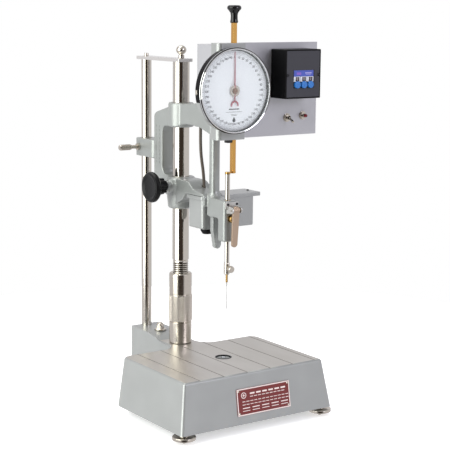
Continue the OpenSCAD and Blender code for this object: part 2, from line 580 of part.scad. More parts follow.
// ---------------------------------------------------------------- stem, chuck and needle
module stem_bushes() place() color(brass) translate([0, -stem_y, 0]) for (z = [251, 299]) translate([0, 0, z]) difference() {
    cylinder(h = 12, r = 5);
    translate([0, 0, -1]) cylinder(h = 14, r = stem_d / 2 + run_gap);
}
module stem() place() color(nickel) translate([0, -stem_y, 219]) cylinder(h = stem_top - 219, r = stem_d / 2);
module stem_cap() place() color(brass) translate([0, -stem_y, stem_top]) rotate_extrude()
    polygon([[0, 0], [3.2, 0], [4.1, 0.8], [4.1, 2.6], [3.4, 3.4], [0, 3.4]]);
module chuck() place() color(nickel) translate([0, -stem_y, 0]) difference() {
    rotate_extrude() polygon([[0, 201], [3.2, 201], [4.2, 202.4], [4.2, 217], [3.5, 219], [0, 219]]);
    translate([0, 0, 200]) cylinder(h = 14, r = 1.62);
    translate([0, 0, 210]) to_front() cylinder(h = 10, r = 1.55);
}
module chuck_screw() place() color(nickel) translate([0, -stem_y, 210]) to_front() rotate_extrude()
    polygon([[0, 2], [1.5, 2], [1.5, 4.6], [2.8, 4.6], [2.8, 6.6], [4.4, 7.2], [4.8, 8.2], [4.8, 12.2], [4.2, 13.2], [0, 13.6]]);
module ferrule() place() color(brass) translate([0, -stem_y, 189]) rotate_extrude()
    polygon([[0.5, 0], [1.3, 0], [1.6, 0.6], [1.6, 24], [0, 24], [0, 12], [0.5, 12]]);
module needle() place() color(nickel) translate([0, -stem_y, needle_tip]) rotate_extrude()
    polygon([[0, 0], [0.08, 0], [0.5, 6.2], [0.5, 201 - needle_tip], [0, 201 - needle_tip]]);

// ---------------------------------------------------------------- release lever
module lever_bracket() place() color(bare_metal) translate([0, -block_front, 0]) {
    to_front() linear_extrude(2.6) polygon([[-11, 309.5], [11.2, 309.5], [11.2, 292], [6.4, 288], [6.4, 296],
        [-6.4, 296], [-11, 300]]);
    for (x = [-8.4, 6.4]) difference() {
        translate([x, 0, 0]) rotate([90, 0, 90]) linear_extrude(2) polygon(concat([[0, 304], [0, 293]],
            arc([block_front + lever_pivot[1], lever_pivot[2]], 4.6, -90, -250, 10)));
        translate([x - 1, block_front + lever_pivot[1], lever_pivot[2]]) rotate([0, 90, 0]) cylinder(h = 4, r = 1.55);
    }
}
module lever_pin() place() color(nickel) translate([-9.4, lever_pivot[1], lever_pivot[2]]) rotate([0, 90, 0])
    cylinder(h = 18.8, r = 1.5);
// The lever leans towards the block and ends in a round tip
lever_len = 55;
lever_lean = 4.5;
module release_lever() place() color("#bda793") translate(lever_pivot) rotate([lever_lean, 0, 0]) difference() {
    union() {
        to_front() linear_extrude(3.6, center = true) {
            polygon([[-5.6, 0], [5.6, 0], [4.9, -lever_len + 4.9], [-4.9, -lever_len + 4.9]]);
            circle(5.6);
            translate([0, -lever_len + 4.9]) circle(4.9);
        }
        rotate([0, 90, 0]) cylinder(h = 11.2, r = 3.2, center = true);
    }
    rotate([0, 90, 0]) cylinder(h = 30, r = 1.5 + run_gap, center = true);
}
module clutch_button() place() color(brass) translate([0, -block_front + 6, 285]) to_front() rotate_extrude()
    polygon([[0, 3.2], [5, 3.2], [5, 9], [5.6, 9.2], [6, 10], [6, 13], [5, 14.1], [2.4, 14.9], [0, 15]]);

base_casting();
level_housing();
level_glass();
nameplate();
nameplate_rivets();
rod_clamp_bolt();
foot_front_left();
foot_front_right();
foot_rear();
column();
guide_rod();
tie_strap();
rod_cap_screw();
top_ball_screw();
adjusting_nut();
head_casting();
clamp_knob();
guide_screw();
gear_housing();
bearing_bushes();
chassis_panel();
chassis_cover();
small_screws();
dial_drum();
dial_bezel();
dial_glass();
dial_face();
zero_hand();
main_hand();
pinion();
rack_bar();
rack_knob();
bump_stop();
timer_case();
timer_front();
timer_display();
timer_button_left();
timer_button_middle();
timer_button_right();
toggle_bushing();
toggle_lever();
button_bushing();
push_button();
solenoid_box();
solenoid_lid();
solenoid();
cable_gland();
control_cable();
stem_bushes();
stem();
stem_cap();
chuck();
chuck_screw();
ferrule();
needle();
lever_bracket();
lever_pin();
release_lever();
clutch_button();
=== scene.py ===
# %% [markdown]
# # A laboratory penetrometer in its real finishes
# A needle hangs from a falling stem over a sample, and a dial reads how deep it sinks. The solids, sizes and
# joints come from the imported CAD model, which is loaded as a fixed frame. This script gives each piece the
# finish and the fine detail of the real instrument. Everything is in metres, in the frame's own axes.

# %% Load the frame
import json
import math

import bmesh
import bpy
from mathutils import Matrix, Vector


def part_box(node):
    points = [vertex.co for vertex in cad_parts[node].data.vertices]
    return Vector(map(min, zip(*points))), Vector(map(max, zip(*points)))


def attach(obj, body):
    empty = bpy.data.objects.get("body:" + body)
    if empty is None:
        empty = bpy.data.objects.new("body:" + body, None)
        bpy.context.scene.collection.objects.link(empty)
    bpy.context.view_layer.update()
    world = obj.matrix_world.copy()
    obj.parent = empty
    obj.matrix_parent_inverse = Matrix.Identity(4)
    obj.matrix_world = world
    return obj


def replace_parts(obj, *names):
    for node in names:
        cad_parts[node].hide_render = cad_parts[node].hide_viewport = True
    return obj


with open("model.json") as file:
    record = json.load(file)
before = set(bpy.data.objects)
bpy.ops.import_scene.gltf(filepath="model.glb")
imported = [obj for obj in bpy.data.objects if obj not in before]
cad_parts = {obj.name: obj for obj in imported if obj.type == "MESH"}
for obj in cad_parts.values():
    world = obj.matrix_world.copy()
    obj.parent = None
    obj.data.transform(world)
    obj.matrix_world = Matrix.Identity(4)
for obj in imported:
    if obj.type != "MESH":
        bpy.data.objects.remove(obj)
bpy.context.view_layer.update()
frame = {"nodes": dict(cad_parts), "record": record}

MM = 0.001
scene = bpy.context.scene
record = frame["record"]
body_of = {node: body for body, nodes in record["behaviour"]["bodies"].items() for node in nodes}


def linked(name, data):
    """A new object of the scene that carries some data."""
    thing = bpy.data.objects.new(name, data)
    scene.collection.objects.link(thing)
    return thing


def as_mesh(name, bm):
    """A mesh made from a bmesh, which is freed."""
    mesh = bpy.data.meshes.new(name)
    bm.to_mesh(mesh)
    bm.free()
    return mesh


def evaluated(thing):
    """The mesh of an object as its modifiers leave it."""
    return bpy.data.meshes.new_from_object(thing.evaluated_get(bpy.context.evaluated_depsgraph_get()))


def baked(thing):
    """A bmesh of an object as its modifiers leave it."""
    bm = bmesh.new()
    bm.from_mesh(evaluated(thing))
    return bm



# %% [markdown]
# The view is that of a long lens, about two metres away, a little above the instrument and to its left.
# A long lens keeps the column's edges almost parallel. The two turns after the first one tip the camera down
# and level it.

# %% Camera
camera = linked("camera", bpy.data.cameras.new("camera"))
camera.data.lens = 106.66
camera.data.sensor_width = 36.0
camera_turn = Matrix.Rotation(math.radians(-34.77), 4, "Z")
camera_tip = Matrix.Rotation(math.radians(80.5), 4, "X")
camera_level = Matrix.Rotation(math.radians(0.512), 4, "Z")
camera_place = Matrix.Translation((-1.1138, -1.6492, 0.6094))
camera.matrix_world = camera_place @ camera_turn @ camera_tip @ camera_level
scene.camera = camera
scene.view_settings.view_transform = "Standard"
print("camera at", [round(x, 3) for x in camera.matrix_world.translation])

# %% [markdown]
# Node trees are long to write by hand, so one small function adds a node, sets its properties and fills its
# sockets. A socket takes a value or another node's output. Colours are chosen as sRGB hex values, as on a
# paint chart, and one function turns them into the linear values that the renderer works with.

# %% Helpers for colours and nodes
def linear(hex_code):
    """An sRGB hex colour as linear red, green, blue and full alpha."""
    parts = [int(hex_code[i:i + 2], 16) / 255 for i in (1, 3, 5)]
    return [c / 12.92 if c <= 0.04045 else ((c + 0.055) / 1.055) ** 2.4 for c in parts] + [1.0]


def add_node(tree, kind, sockets=None, **settings):
    """Adds a node. Keys of sockets are input names or numbers; values are constants or outputs to link."""
    node = tree.nodes.new(kind)
    for key, value in settings.items():
        setattr(node, key, value)
    for key, value in (sockets or {}).items():
        if isinstance(value, bpy.types.NodeSocket):
            tree.links.new(value, node.inputs[key])
        else:
            node.inputs[key].default_value = value
    return node


# %% [markdown]
# A catalogue picture of such an instrument is taken on white paper, with one tall soft box at its left.
# Polished steel shows what stands around it: the box as a white stripe, the unlit room around the camera as
# a brown one, and pale walls at both edges. So the world is painted by direction: pale behind, at the sides
# and above, brown and dim towards the camera. The camera itself sees plain white where there is no paper.

# %% World and lights
world = bpy.data.worlds.new("studio")
scene.world = world
world.use_nodes = True
sky = world.node_tree
sky.nodes.clear()
way = add_node(sky, "ShaderNodeTexCoord")
toward_room = add_node(sky, "ShaderNodeVectorMath", {0: way.outputs["Generated"], 1: (-0.5, -0.866, 0.0)},
                       operation="DOT_PRODUCT")
room_share = add_node(sky, "ShaderNodeMapRange", {"Value": toward_room.outputs["Value"], "From Min": 0.76,
                                                  "From Max": 0.9}, interpolation_type="SMOOTHSTEP")
height = add_node(sky, "ShaderNodeSeparateXYZ", {0: way.outputs["Generated"]})
ceiling = add_node(sky, "ShaderNodeMapRange", {"Value": height.outputs["Z"], "From Min": 0.3,
                                               "From Max": 0.9}, interpolation_type="SMOOTHSTEP")
sides = add_node(sky, "ShaderNodeMix", {"Factor": room_share.outputs[0], "A": (0.80, 0.79, 0.82, 1),
                                        "B": (0.055, 0.042, 0.035, 1)}, data_type="RGBA")
around = add_node(sky, "ShaderNodeMix", {"Factor": ceiling.outputs[0], "A": sides.outputs["Result"],
                                         "B": (0.62, 0.62, 0.64, 1)}, data_type="RGBA")
lit = add_node(sky, "ShaderNodeBackground", {"Color": around.outputs["Result"], "Strength": 1.0})
paper = add_node(sky, "ShaderNodeBackground", {"Color": (1, 1, 1, 1), "Strength": 1.0})
ray = add_node(sky, "ShaderNodeLightPath")
seen = add_node(sky, "ShaderNodeMixShader", {0: ray.outputs["Is Camera Ray"], 1: lit.outputs[0],
                                             2: paper.outputs[0]})
add_node(sky, "ShaderNodeOutputWorld", {"Surface": seen.outputs[0]})


def soft_box(name, place, width, tall, power, hex_code, aim=(0, 0, 0.3)):
    """A rectangular soft box at a place, turned to face the instrument."""
    light = bpy.data.lights.new(name, "AREA")
    light.shape = "RECTANGLE"
    light.size, light.size_y = width, tall
    light.energy = power
    light.color = linear(hex_code)[:3]
    holder = linked(name, light)
    turn = (Vector(aim) - Vector(place)).to_track_quat("-Z", "Y")
    holder.matrix_world = Matrix.Translation(place) @ turn.to_matrix().to_4x4()
    return holder


soft_box("key_box", (-2.05, -0.05, 0.8), 2.0, 2.3, 56.0, "#FBFFF8")
soft_box("top_box", (-0.3, 0.5, 2.1), 1.6, 1.2, 18.0, "#FFFDF8")
soft_box("front_fill", (0.7, -2.3, 1.3), 0.9, 0.9, 16.0, "#F1EEFF")
print("one key box, one top box and a weak fill")

# %% [markdown]
# The instrument stands on a sheet of white paper. The sheet is round and not much wider than the instrument,
# so that polished steel mirrors the room beyond it. A little light of its own keeps the sheet as white as the
# background, and leaves only a soft shadow at the feet.

# %% Paper floor
sheet = bmesh.new()
bmesh.ops.create_circle(sheet, cap_ends=True, segments=96, radius=0.85)
floor_mesh = as_mesh("floor", sheet)
floor = linked("floor", floor_mesh)
paper_finish = bpy.data.materials.new("matt_paper")
paper_finish.use_nodes = True
paper_shader = paper_finish.node_tree.nodes["Principled BSDF"]
paper_shader.inputs["Base Color"].default_value = linear("#F4F4F4")
paper_shader.inputs["Roughness"].default_value = 0.9
paper_shader.inputs["Emission Color"].default_value = linear("#FFFFFF")
paper_shader.inputs["Emission Strength"].default_value = 0.45
floor_mesh.materials.append(paper_finish)
floor.visible_glossy = False
print("floor radius 0.85 m")

# %% [markdown]
# Most finishes here have a grain: the orange peel of sprayed enamel, the lapping marks of ground steel, the
# satin of moulded plastic. One noise pattern serves them all. Its lumps have a real size in millimetres, and
# a stretch draws them out along the way the tool or the spray went.

# %% Grain and base of a finish
def grain(tree, spacing_mm, stretch=(1, 1, 1), detail=2.0):
    """A noise on the piece's own place, with lumps about spacing_mm wide."""
    place = add_node(tree, "ShaderNodeTexCoord")
    drawn = add_node(tree, "ShaderNodeMapping", {"Vector": place.outputs["Object"], "Scale": stretch})
    return add_node(tree, "ShaderNodeTexNoise", {"Vector": drawn.outputs[0], "Scale": 1 / (spacing_mm * MM),
                                                 "Detail": detail}).outputs["Fac"]


def new_finish(name, hex_code, roughness, **sockets):
    """A material with constants on the shader's own sockets. Underscores in names stand for spaces."""
    material = bpy.data.materials.new(name)
    material.use_nodes = True
    shader = material.node_tree.nodes["Principled BSDF"]
    shader.inputs["Base Color"].default_value = linear(hex_code)
    shader.inputs["Roughness"].default_value = roughness
    for key, value in sockets.items():
        shader.inputs[key.replace("_", " ")].default_value = value
    return material, material.node_tree, shader


def tinted(tree, shader, share, hex_dark, hex_light):
    """Lets the colour drift between two tones."""
    tone = add_node(tree, "ShaderNodeMix", {"Factor": share, "A": linear(hex_dark), "B": linear(hex_light)},
                    data_type="RGBA")
    tree.links.new(tone.outputs["Result"], shader.inputs["Base Color"])


def bumped(tree, shader, noise, depth_mm, strength):
    """Lets the surface rise and fall with a noise."""
    bump = add_node(tree, "ShaderNodeBump", {"Height": noise, "Distance": depth_mm * MM,
                                             "Strength": strength})
    tree.links.new(bump.outputs[0], shader.inputs["Normal"])


def worn(tree, shader, noise, smooth, rough):
    """Lets the gloss vary with a noise."""
    satin = add_node(tree, "ShaderNodeMapRange", {"Value": noise, "To Min": smooth, "To Max": rough})
    tree.links.new(satin.outputs[0], shader.inputs["Roughness"])


# %% [markdown]
# The castings and the sheet-metal boxes are sprayed with a silver-grey stoving enamel. It is a smooth satin
# with a faint orange peel, lumps of a millimetre or two that only a grazing light shows, and a slow drift in
# tone where the coat is thicker. The flake in it gives a soft metallic sheen.

# %% Stoved grey enamel
def stoved_enamel(name, hex_dark, hex_light, peel_mm, peel_depth_mm):
    material, tree, shader = new_finish(name, hex_light, 0.36, Metallic=0.5, Coat_Weight=0.15,
                                        Coat_Roughness=0.16)
    tinted(tree, shader, grain(tree, 38, detail=1.0), hex_dark, hex_light)
    peel = grain(tree, peel_mm, detail=1.5)
    worn(tree, shader, peel, 0.3, 0.42)
    bumped(tree, shader, peel, peel_depth_mm, 0.6)
    return material


base_enamel = stoved_enamel("stoved_enamel_on_iron", "#9A9C9B", "#A5A7A6", 1.8, 0.05)
head_enamel = stoved_enamel("stoved_enamel_on_aluminium", "#929593", "#9EA19F", 1.5, 0.06)
sheet_enamel = stoved_enamel("stoved_enamel_on_sheet", "#AEAEB2", "#B7B7BB", 1.2, 0.02)
print("three coats of enamel")

# %% [markdown]
# The top of the base is planed and ground from front to back, and left bare under a film of oil. It is a warm
# satin metal whose fine scratches all run one way, so the grain is drawn out twenty times along Y. Real
# grinding marks are a few hundredths of a millimetre apart; they are drawn at 0.6 mm so that they show.

# %% Ground cast iron
def ground_iron():
    material, tree, shader = new_finish("ground_cast_iron", "#C9C6C0", 0.34, Metallic=1.0, Anisotropic=0.35)
    marks = grain(tree, 0.6, stretch=(1, 0.05, 1), detail=3.0)
    stain = grain(tree, 45, stretch=(1, 0.5, 1), detail=2.0)
    tinted(tree, shader, stain, "#BEBAB3", "#D0CDC7")
    worn(tree, shader, marks, 0.27, 0.46)
    bumped(tree, shader, marks, 0.012, 0.5)
    return material


table_iron = ground_iron()
print(table_iron.name)

# %% [markdown]
# The column and the guide rod are centreless-ground steel with hard chrome on top. The nut, the screws and
# the small turned pieces are nickel plated, a little warmer and less sharp. Turning leaves rings around each
# axis; on pieces that stand upright the grain is pressed flat along Z to draw them.

# %% Plated and turned steel
def plated_steel(name, hex_dark, hex_light, smooth, rough, ring_mm, ring_depth_mm, stretch):
    material, tree, shader = new_finish(name, hex_light, rough, Metallic=1.0)
    rings = grain(tree, ring_mm, stretch=stretch, detail=2.0)
    tinted(tree, shader, rings, hex_dark, hex_light)
    worn(tree, shader, rings, smooth, rough)
    bumped(tree, shader, rings, ring_depth_mm, 0.4)
    return material


upright = (0.04, 0.04, 1)
even = (1, 1, 1)
hard_chrome = plated_steel("hard_chrome_on_ground_steel", "#C6C0B6", "#D2CDC4", 0.07, 0.15, 0.5, 0.002,
                           upright)
turned_nickel = plated_steel("nickel_on_turned_steel", "#C0B8AC", "#CEC8BE", 0.12, 0.24, 0.4, 0.004, upright)
knurled_nickel = plated_steel("nickel_on_knurled_steel", "#BCB4AA", "#C9C2B8", 0.3, 0.42, 0.4, 0.004, upright)
screw_nickel = plated_steel("nickel_on_small_screws", "#BDB5A8", "#D2CCC2", 0.14, 0.3, 0.6, 0.004, even)
lever_nickel = plated_steel("satin_nickel_on_brass_lever", "#B59E88", "#C4AF9B", 0.34, 0.46, 0.5, 0.01,
                            (1, 1, 0.06))
bezel_chrome = plated_steel("bright_chrome_on_brass_bezel", "#D8D8D8", "#E2E2E2", 0.03, 0.07, 2.0, 0.002,
                            even)
rack_brass = plated_steel("drawn_brass", "#C8954C", "#DCB068", 0.18, 0.3, 0.5, 0.006, (1, 1, 0.03))
turned_brass = plated_steel("turned_brass", "#B08A4C", "#CDA766", 0.16, 0.28, 0.4, 0.004, upright)
wound_copper = plated_steel("enamelled_copper_wire", "#8A4F2A", "#B3713E", 0.2, 0.3, 0.5, 0.08,
                            (0.05, 1, 0.05))
bracket_aluminium = plated_steel("satin_aluminium_bracket", "#B9B8B4", "#D2D1CD", 0.34, 0.5, 0.7, 0.02, even)
hub_bronze = plated_steel("turned_bronze_boss", "#7A5A48", "#9A7660", 0.2, 0.34, 0.4, 0.004, even)
black_screw = plated_steel("blackened_steel_screws", "#2A2A2C", "#3A3A3C", 0.3, 0.45, 0.5, 0.01, even)
bright_strap = plated_steel("polished_steel_strap", "#E4E1DB", "#F0EEEA", 0.15, 0.25, 0.5, 0.004, even)
drawn_needle = plated_steel("drawn_steel_needle", "#8C8B8A", "#9C9B9A", 0.3, 0.4, 0.4, 0.002, upright)
print("fourteen plated or bare metals")

# %% [markdown]
# Knobs of this age are moulded phenolic, a deep black with a polish that dulls in the hollows. The drum of
# the dial is black stoving enamel, and the timer is moulded ABS with a fine spark-eroded grain on its front.

# %% Black and coloured plastics
def moulded(name, hex_code, roughness, grain_mm, depth_mm, coat=0.0, gloss=0.5):
    material, tree, shader = new_finish(name, hex_code, roughness, IOR=1.5, Coat_Weight=coat,
                                        Coat_Roughness=0.08, Specular_IOR_Level=gloss)
    skin = grain(tree, grain_mm, detail=2.0)
    worn(tree, shader, skin, roughness * 0.8, roughness * 1.25)
    bumped(tree, shader, skin, depth_mm, 0.5)
    return material


phenolic = moulded("polished_phenolic", "#0C0C0D", 0.34, 3.0, 0.02, coat=0.04, gloss=0.2)
knob_phenolic = moulded("bright_phenolic", "#0C0C0D", 0.12, 4.0, 0.01, coat=0.25, gloss=0.3)
drum_enamel = moulded("black_stoving_enamel", "#050506", 0.2, 2.5, 0.01, coat=0.04, gloss=0.12)
case_abs = moulded("smooth_black_abs", "#08080A", 0.5, 1.2, 0.02, gloss=0.15)
front_abs = moulded("spark_grained_grey_abs", "#3C3C42", 0.5, 0.7, 0.04, gloss=0.3)
blue_abs = moulded("blue_button_abs", "#2470BE", 0.26, 1.5, 0.01, coat=0.3)
red_abs = moulded("dark_red_button_abs", "#7E1A22", 0.22, 1.5, 0.01, coat=0.4)
buffer_rubber = moulded("black_rubber", "#1B1A1A", 0.6, 0.8, 0.05)
cable_pvc = moulded("brown_grey_pvc", "#4C433B", 0.4, 0.9, 0.03)
print("nine moulded finishes")

# %% [markdown]
# The dial is a printed card behind glass: cool white enamel, black figures and two pale red hands. The glass
# lets nearly all light through and mirrors a little, so its alpha is low and its surface very smooth.

# %% Print, glass and plate
def printed(name, hex_code, roughness=0.45):
    material, tree, shader = new_finish(name, hex_code, roughness, Specular_IOR_Level=0.4)
    bumped(tree, shader, grain(tree, 0.5, detail=2.0), 0.005, 0.3)
    return material


card_white = printed("white_dial_enamel", "#E9EDF0")
print_black = printed("black_printing_ink", "#26282C")
hand_red = printed("dull_red_hand_lacquer", "#A4505E", 0.35)
hand_pale = printed("pale_rose_hand_lacquer", "#B98A92", 0.35)
label_blue = printed("blue_label_foil", "#4C5CB4", 0.3)
label_violet = printed("violet_label_print", "#8465C0", 0.3)
label_pale = printed("pale_label_print", "#A8A6DA", 0.3)
window_white = printed("white_window_frame", "#D9DCE4", 0.3)
window_dark = printed("dark_counter_wheel", "#3A3034", 0.3)
digit_pale = printed("pale_counter_digit", "#B9B4B8", 0.4)
plate_maroon = printed("maroon_plate_enamel", "#6E2A2A", 0.3)
plate_bare = new_finish("bare_aluminium_of_plate", "#EADCD8", 0.35, Metallic=0.2)[0]
dial_glass = new_finish("flat_dial_glass", "#F4FBFA", 0.02, IOR=1.5, Alpha=0.07)[0]
vial_glass = new_finish("thick_level_glass", "#4C524D", 0.05, IOR=1.5, Coat_Weight=0.3)[0]
print("printed, glass and plate finishes")

# %% [markdown]
# The CAD nodes come as loose triangles. For a close view their sharp edges have to be broken, as a deburred
# or sprayed part's are, because it is the small rounded edge that catches the light. So a copy is welded,
# its flat faces are cleared of needless edges, and every corner sharper than a limit gets a small bevel.

# %% Welding and breaking edges
def welded(node):
    """A bmesh of a CAD node with its loose triangles joined."""
    bm = bmesh.new()
    bm.from_mesh(frame["nodes"][node].data)
    bmesh.ops.remove_doubles(bm, verts=bm.verts, dist=0.002 * MM)
    bmesh.ops.dissolve_degenerate(bm, edges=bm.edges, dist=0.001 * MM)
    return bm


def new_piece(name, bm, materials, body, smooth_below=32):
    """Makes a piece from a bmesh. Large faces keep their own normals, so that only the edges look round."""
    mesh = as_mesh(name, bm)
    for material in materials:
        mesh.materials.append(material)
    mesh.shade_smooth()
    mesh.set_sharp_from_angle(angle=math.radians(smooth_below))
    piece = linked(name, mesh)
    weigh = piece.modifiers.new("weigh", "WEIGHTED_NORMAL")
    weigh.keep_sharp = True
    piece.data = evaluated(piece)
    piece.modifiers.remove(weigh)
    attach(piece, body)
    return piece


def flattened(bm, degrees=0.4):
    """The bmesh with its flat faces cleared of needless edges."""
    bmesh.ops.dissolve_limit(bm, angle_limit=math.radians(degrees), verts=bm.verts, edges=bm.edges)
    return bm


def break_edges(bm, width_mm, sharp=28, segments=3, only=None):
    """Bevels the edges that are sharper than a limit, and that pass a test if one is given."""
    limit = math.radians(sharp)
    edges = [e for e in bm.edges if len(e.link_faces) == 2 and e.calc_face_angle(0) > limit
             and (only is None or only(e))]
    bmesh.ops.bevel(bm, geom=edges, offset=width_mm * MM, segments=segments, profile=0.5, affect="EDGES",
                    clamp_overlap=False, loop_slide=True)
    return len(edges)


def deburred(node, material, width_mm):
    """A welded copy of a CAD node with small rounded edges, which stands for the node."""
    bm = flattened(welded(node))
    break_edges(bm, width_mm, segments=2)
    piece = new_piece(node + "_deburred", bm, [material], body_of[node])
    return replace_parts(piece, node)


# %% [markdown]
# Much of the instrument is turned on a lathe. A turned piece is one outline spun about an axis, and the CAD
# node already holds that outline. So a half plane is laid through the node, the outline is read where the
# plane crosses its rings of edges, and the outline is spun again with many more steps. The size stays the
# CAD's own, and the reflections run round smoothly.

# %% Turned pieces
AXES = {"Z": Matrix.Identity(3), "Y": Matrix(((1, 0, 0), (0, 0, -1), (0, 1, 0))),
        "X": Matrix(((0, 0, -1), (0, 1, 0), (1, 0, 0)))}
CUT_DEGREES = 37.0
SPIN_STEPS = 96


def turned_outline(bm, spin, centre, cut_degrees):
    """The outline of a body of revolution as (radius, height) points in order, and whether it is a ring."""
    bm.transform(Matrix.Translation(-Vector(centre)))
    bm.transform(spin.inverted().to_4x4())
    bm.transform(Matrix.Rotation(math.radians(-cut_degrees), 4, "Z"))
    crossing = {}
    for edge in bm.edges:
        a, b = (v.co for v in edge.verts)
        if (a.y < 0) != (b.y < 0):
            t = a.y / (a.y - b.y)
            if a.x + t * (b.x - a.x) > 0:
                crossing[edge] = (math.hypot(a.x, a.y), a.z, math.hypot(b.x, b.y), b.z)
    neighbours = {edge: [] for edge in crossing}
    for face in bm.faces:
        pair = [edge for edge in face.edges if edge in crossing]
        if len(pair) == 2:
            neighbours[pair[0]].append(pair[1])
            neighbours[pair[1]].append(pair[0])
    ends = [edge for edge in crossing if len(neighbours[edge]) == 1]
    is_ring = not ends
    edge, before, order = (ends or list(crossing))[0], None, []
    while edge is not None and edge not in order:
        order.append(edge)
        further = [e for e in neighbours[edge] if e is not before and e not in order]
        before, edge = edge, (further[0] if further else None)
    outline = []
    for edge in order:
        r0, z0, r1, z1 = crossing[edge]
        if abs(r0 - r1) < 0.004 * MM and abs(z0 - z1) < 0.004 * MM:
            outline.append((r0, z0))
    return outline, is_ring


def spun(outline, is_ring, steps, spin, centre):
    """Spins an outline about an axis into a closed bmesh whose faces point outwards."""
    bm = bmesh.new()
    rings = []
    for radius, height in outline:
        rings.append([bm.verts.new((radius * math.cos(a), radius * math.sin(a), height))
                      for a in (2 * math.pi * i / steps for i in range(steps))])
    pairs = list(zip(rings, rings[1:])) + ([(rings[-1], rings[0])] if is_ring else [])
    for low, high in pairs:
        for i in range(steps):
            bm.faces.new((low[i], low[(i + 1) % steps], high[(i + 1) % steps], high[i]))
    if not is_ring:
        bm.faces.new(rings[0])
        bm.faces.new(rings[-1])
    bmesh.ops.recalc_face_normals(bm, faces=bm.faces)
    bm.transform(spin.to_4x4())
    bm.transform(Matrix.Translation(centre))
    return bm


def turned(node, material, axis, break_mm):
    """Spins a turned CAD node again with many steps and broken edges, to stand for the node."""
    low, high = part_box(node)
    middle = (low + high) / 2
    outline, is_ring = turned_outline(welded(node), AXES[axis], middle, CUT_DEGREES)
    bm = spun(outline, is_ring, SPIN_STEPS, AXES[axis], middle)
    if break_mm:
        break_edges(bm, break_mm, sharp=25, segments=2)
    piece = new_piece(node + "_turned", bm, [material], body_of[node], smooth_below=24)
    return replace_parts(piece, node)


TURNED = [
    ("guide_rod", hard_chrome, "ground_steel", "Z", 0.5),
    ("adjusting_nut", turned_nickel, "nickel", "Z", 0.25),
    ("top_ball_screw", turned_nickel, "nickel", "Z", 0.2),
    ("rod_cap_screw", screw_nickel, "nickel", "Z", 0.25),
    ("foot_front_left", turned_nickel, "nickel", "Z", 0.3),
    ("foot_front_right", turned_nickel, "nickel", "Z", 0.3), ("foot_rear", turned_nickel, "nickel", "Z", 0.3),
    ("level_housing", drum_enamel, "nickel", "Z", 0.2), ("level_glass", vial_glass, "glass", "Z", 0.2),
    ("stem", hard_chrome, "ground_steel", "Z", 0.3), ("stem_cap", turned_brass, "brass", "Z", 0.2),
    ("chuck_screw", screw_nickel, "nickel", "Y", 0.25), ("ferrule", turned_brass, "brass", "Z", 0.15),
    ("needle", drawn_needle, "ground_steel", "Z", 0.0), ("clutch_button", turned_brass, "brass", "Y", 0.25),
    ("push_button", red_abs, "button_red", "Y", 0.3),
    ("timer_button_left", blue_abs, "button_blue", "Y", 0.5),
    ("timer_button_middle", blue_abs, "button_blue", "Y", 0.5),
    ("timer_button_right", blue_abs, "button_blue", "Y", 0.5),
    ("dial_glass", dial_glass, "glass", "Y", 0.3),
]
for node, material, slot, axis, break_mm in TURNED:
    piece = turned(node, material, axis, break_mm)
    print(piece.name, len(piece.data.polygons), "faces")

# %% [markdown]
# The lower end of the column has a coarse thread that the nut climbs. The outline of the design gets real
# flanks, and the faces near the root take a dark finish, a painted shade in the valleys of the thread.

# %% Threaded column
THREAD_PITCH, THREAD_CREST, THREAD_DEPTH = 3.175, 11.9, 1.0
# Painted shade: a dark brown finish stands for the shade in the valleys of the thread.
painted_root_shade = new_finish("thread_valleys_painted_shade", "#3B342C", 0.35, Metallic=0.8)[0]
column_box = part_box("column")
column_middle = (column_box[0] + column_box[1]) / 2
column_outline = turned_outline(welded("column"), AXES["Z"], column_middle, CUT_DEGREES)[0]
thread_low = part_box("adjusting_nut")[1].z - column_middle.z - 12 * MM
thread_high = thread_low + 9.4 * THREAD_PITCH * MM
plain = [p for p in column_outline if not thread_low < p[1] < thread_high + 0.3 * MM or p[0] > 12 * MM]
start = max(i for i, p in enumerate(plain) if p[1] <= thread_low and p[0] > 11 * MM)
flanks = []
for i in range(9):
    for rise, depth in ((0.3, 0), (0.9, 0.5), (1.3, 1), (1.8, 1), (2.2, 0.5), (2.8, 0)):
        radius = (THREAD_CREST - depth * THREAD_DEPTH) * MM
        flanks.append((radius, thread_low + (i * THREAD_PITCH + rise) * MM))
column = spun(plain[:start + 1] + flanks + plain[start + 1:], False, SPIN_STEPS, AXES["Z"],
              column_middle)
# Faces near the root of the thread take the painted shade.
for face in column.faces:
    middle = face.calc_center_median() - column_middle
    in_thread = thread_low < middle.z < thread_high and len(face.verts) == 4
    face.material_index = 1 if in_thread and math.hypot(middle.x, middle.y) < 11.5 * MM else 0
piece = new_piece("column_threaded", column, [hard_chrome, painted_root_shade], "lift", 24)
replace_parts(piece, "column")
print("nine turns of thread")

# %% [markdown]
# Fine detail is placed in millimetres from one origin, the column's axis at the height of the base's lower
# edge, because that is how such an instrument is set out on the bench. The origin is read from the frame.

# %% Places and small shapes
column_low, column_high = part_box("column")
base_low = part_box("base_casting")[0]
ORIGIN = Vector(((column_low.x + column_high.x) / 2, (column_low.y + column_high.y) / 2, base_low.z))
TO_FRONT = AXES["Y"].to_4x4()
TO_LEFT = AXES["X"].to_4x4()


def at(x, y, z):
    """A point in millimetres from the column's axis at the base's lower edge."""
    return ORIGIN + Vector((x, y, z)) * MM


def block(size_mm, centre_mm=(0, 0, 0), edge_mm=0.0):
    """A block with rounded edges about a centre."""
    bm = bmesh.new()
    scale = Matrix.Diagonal((*(s * MM for s in size_mm), 1))
    bmesh.ops.create_cube(bm, size=1.0, matrix=Matrix.Translation(Vector(centre_mm) * MM) @ scale)
    if edge_mm:
        break_edges(bm, edge_mm, segments=2)
    return bm


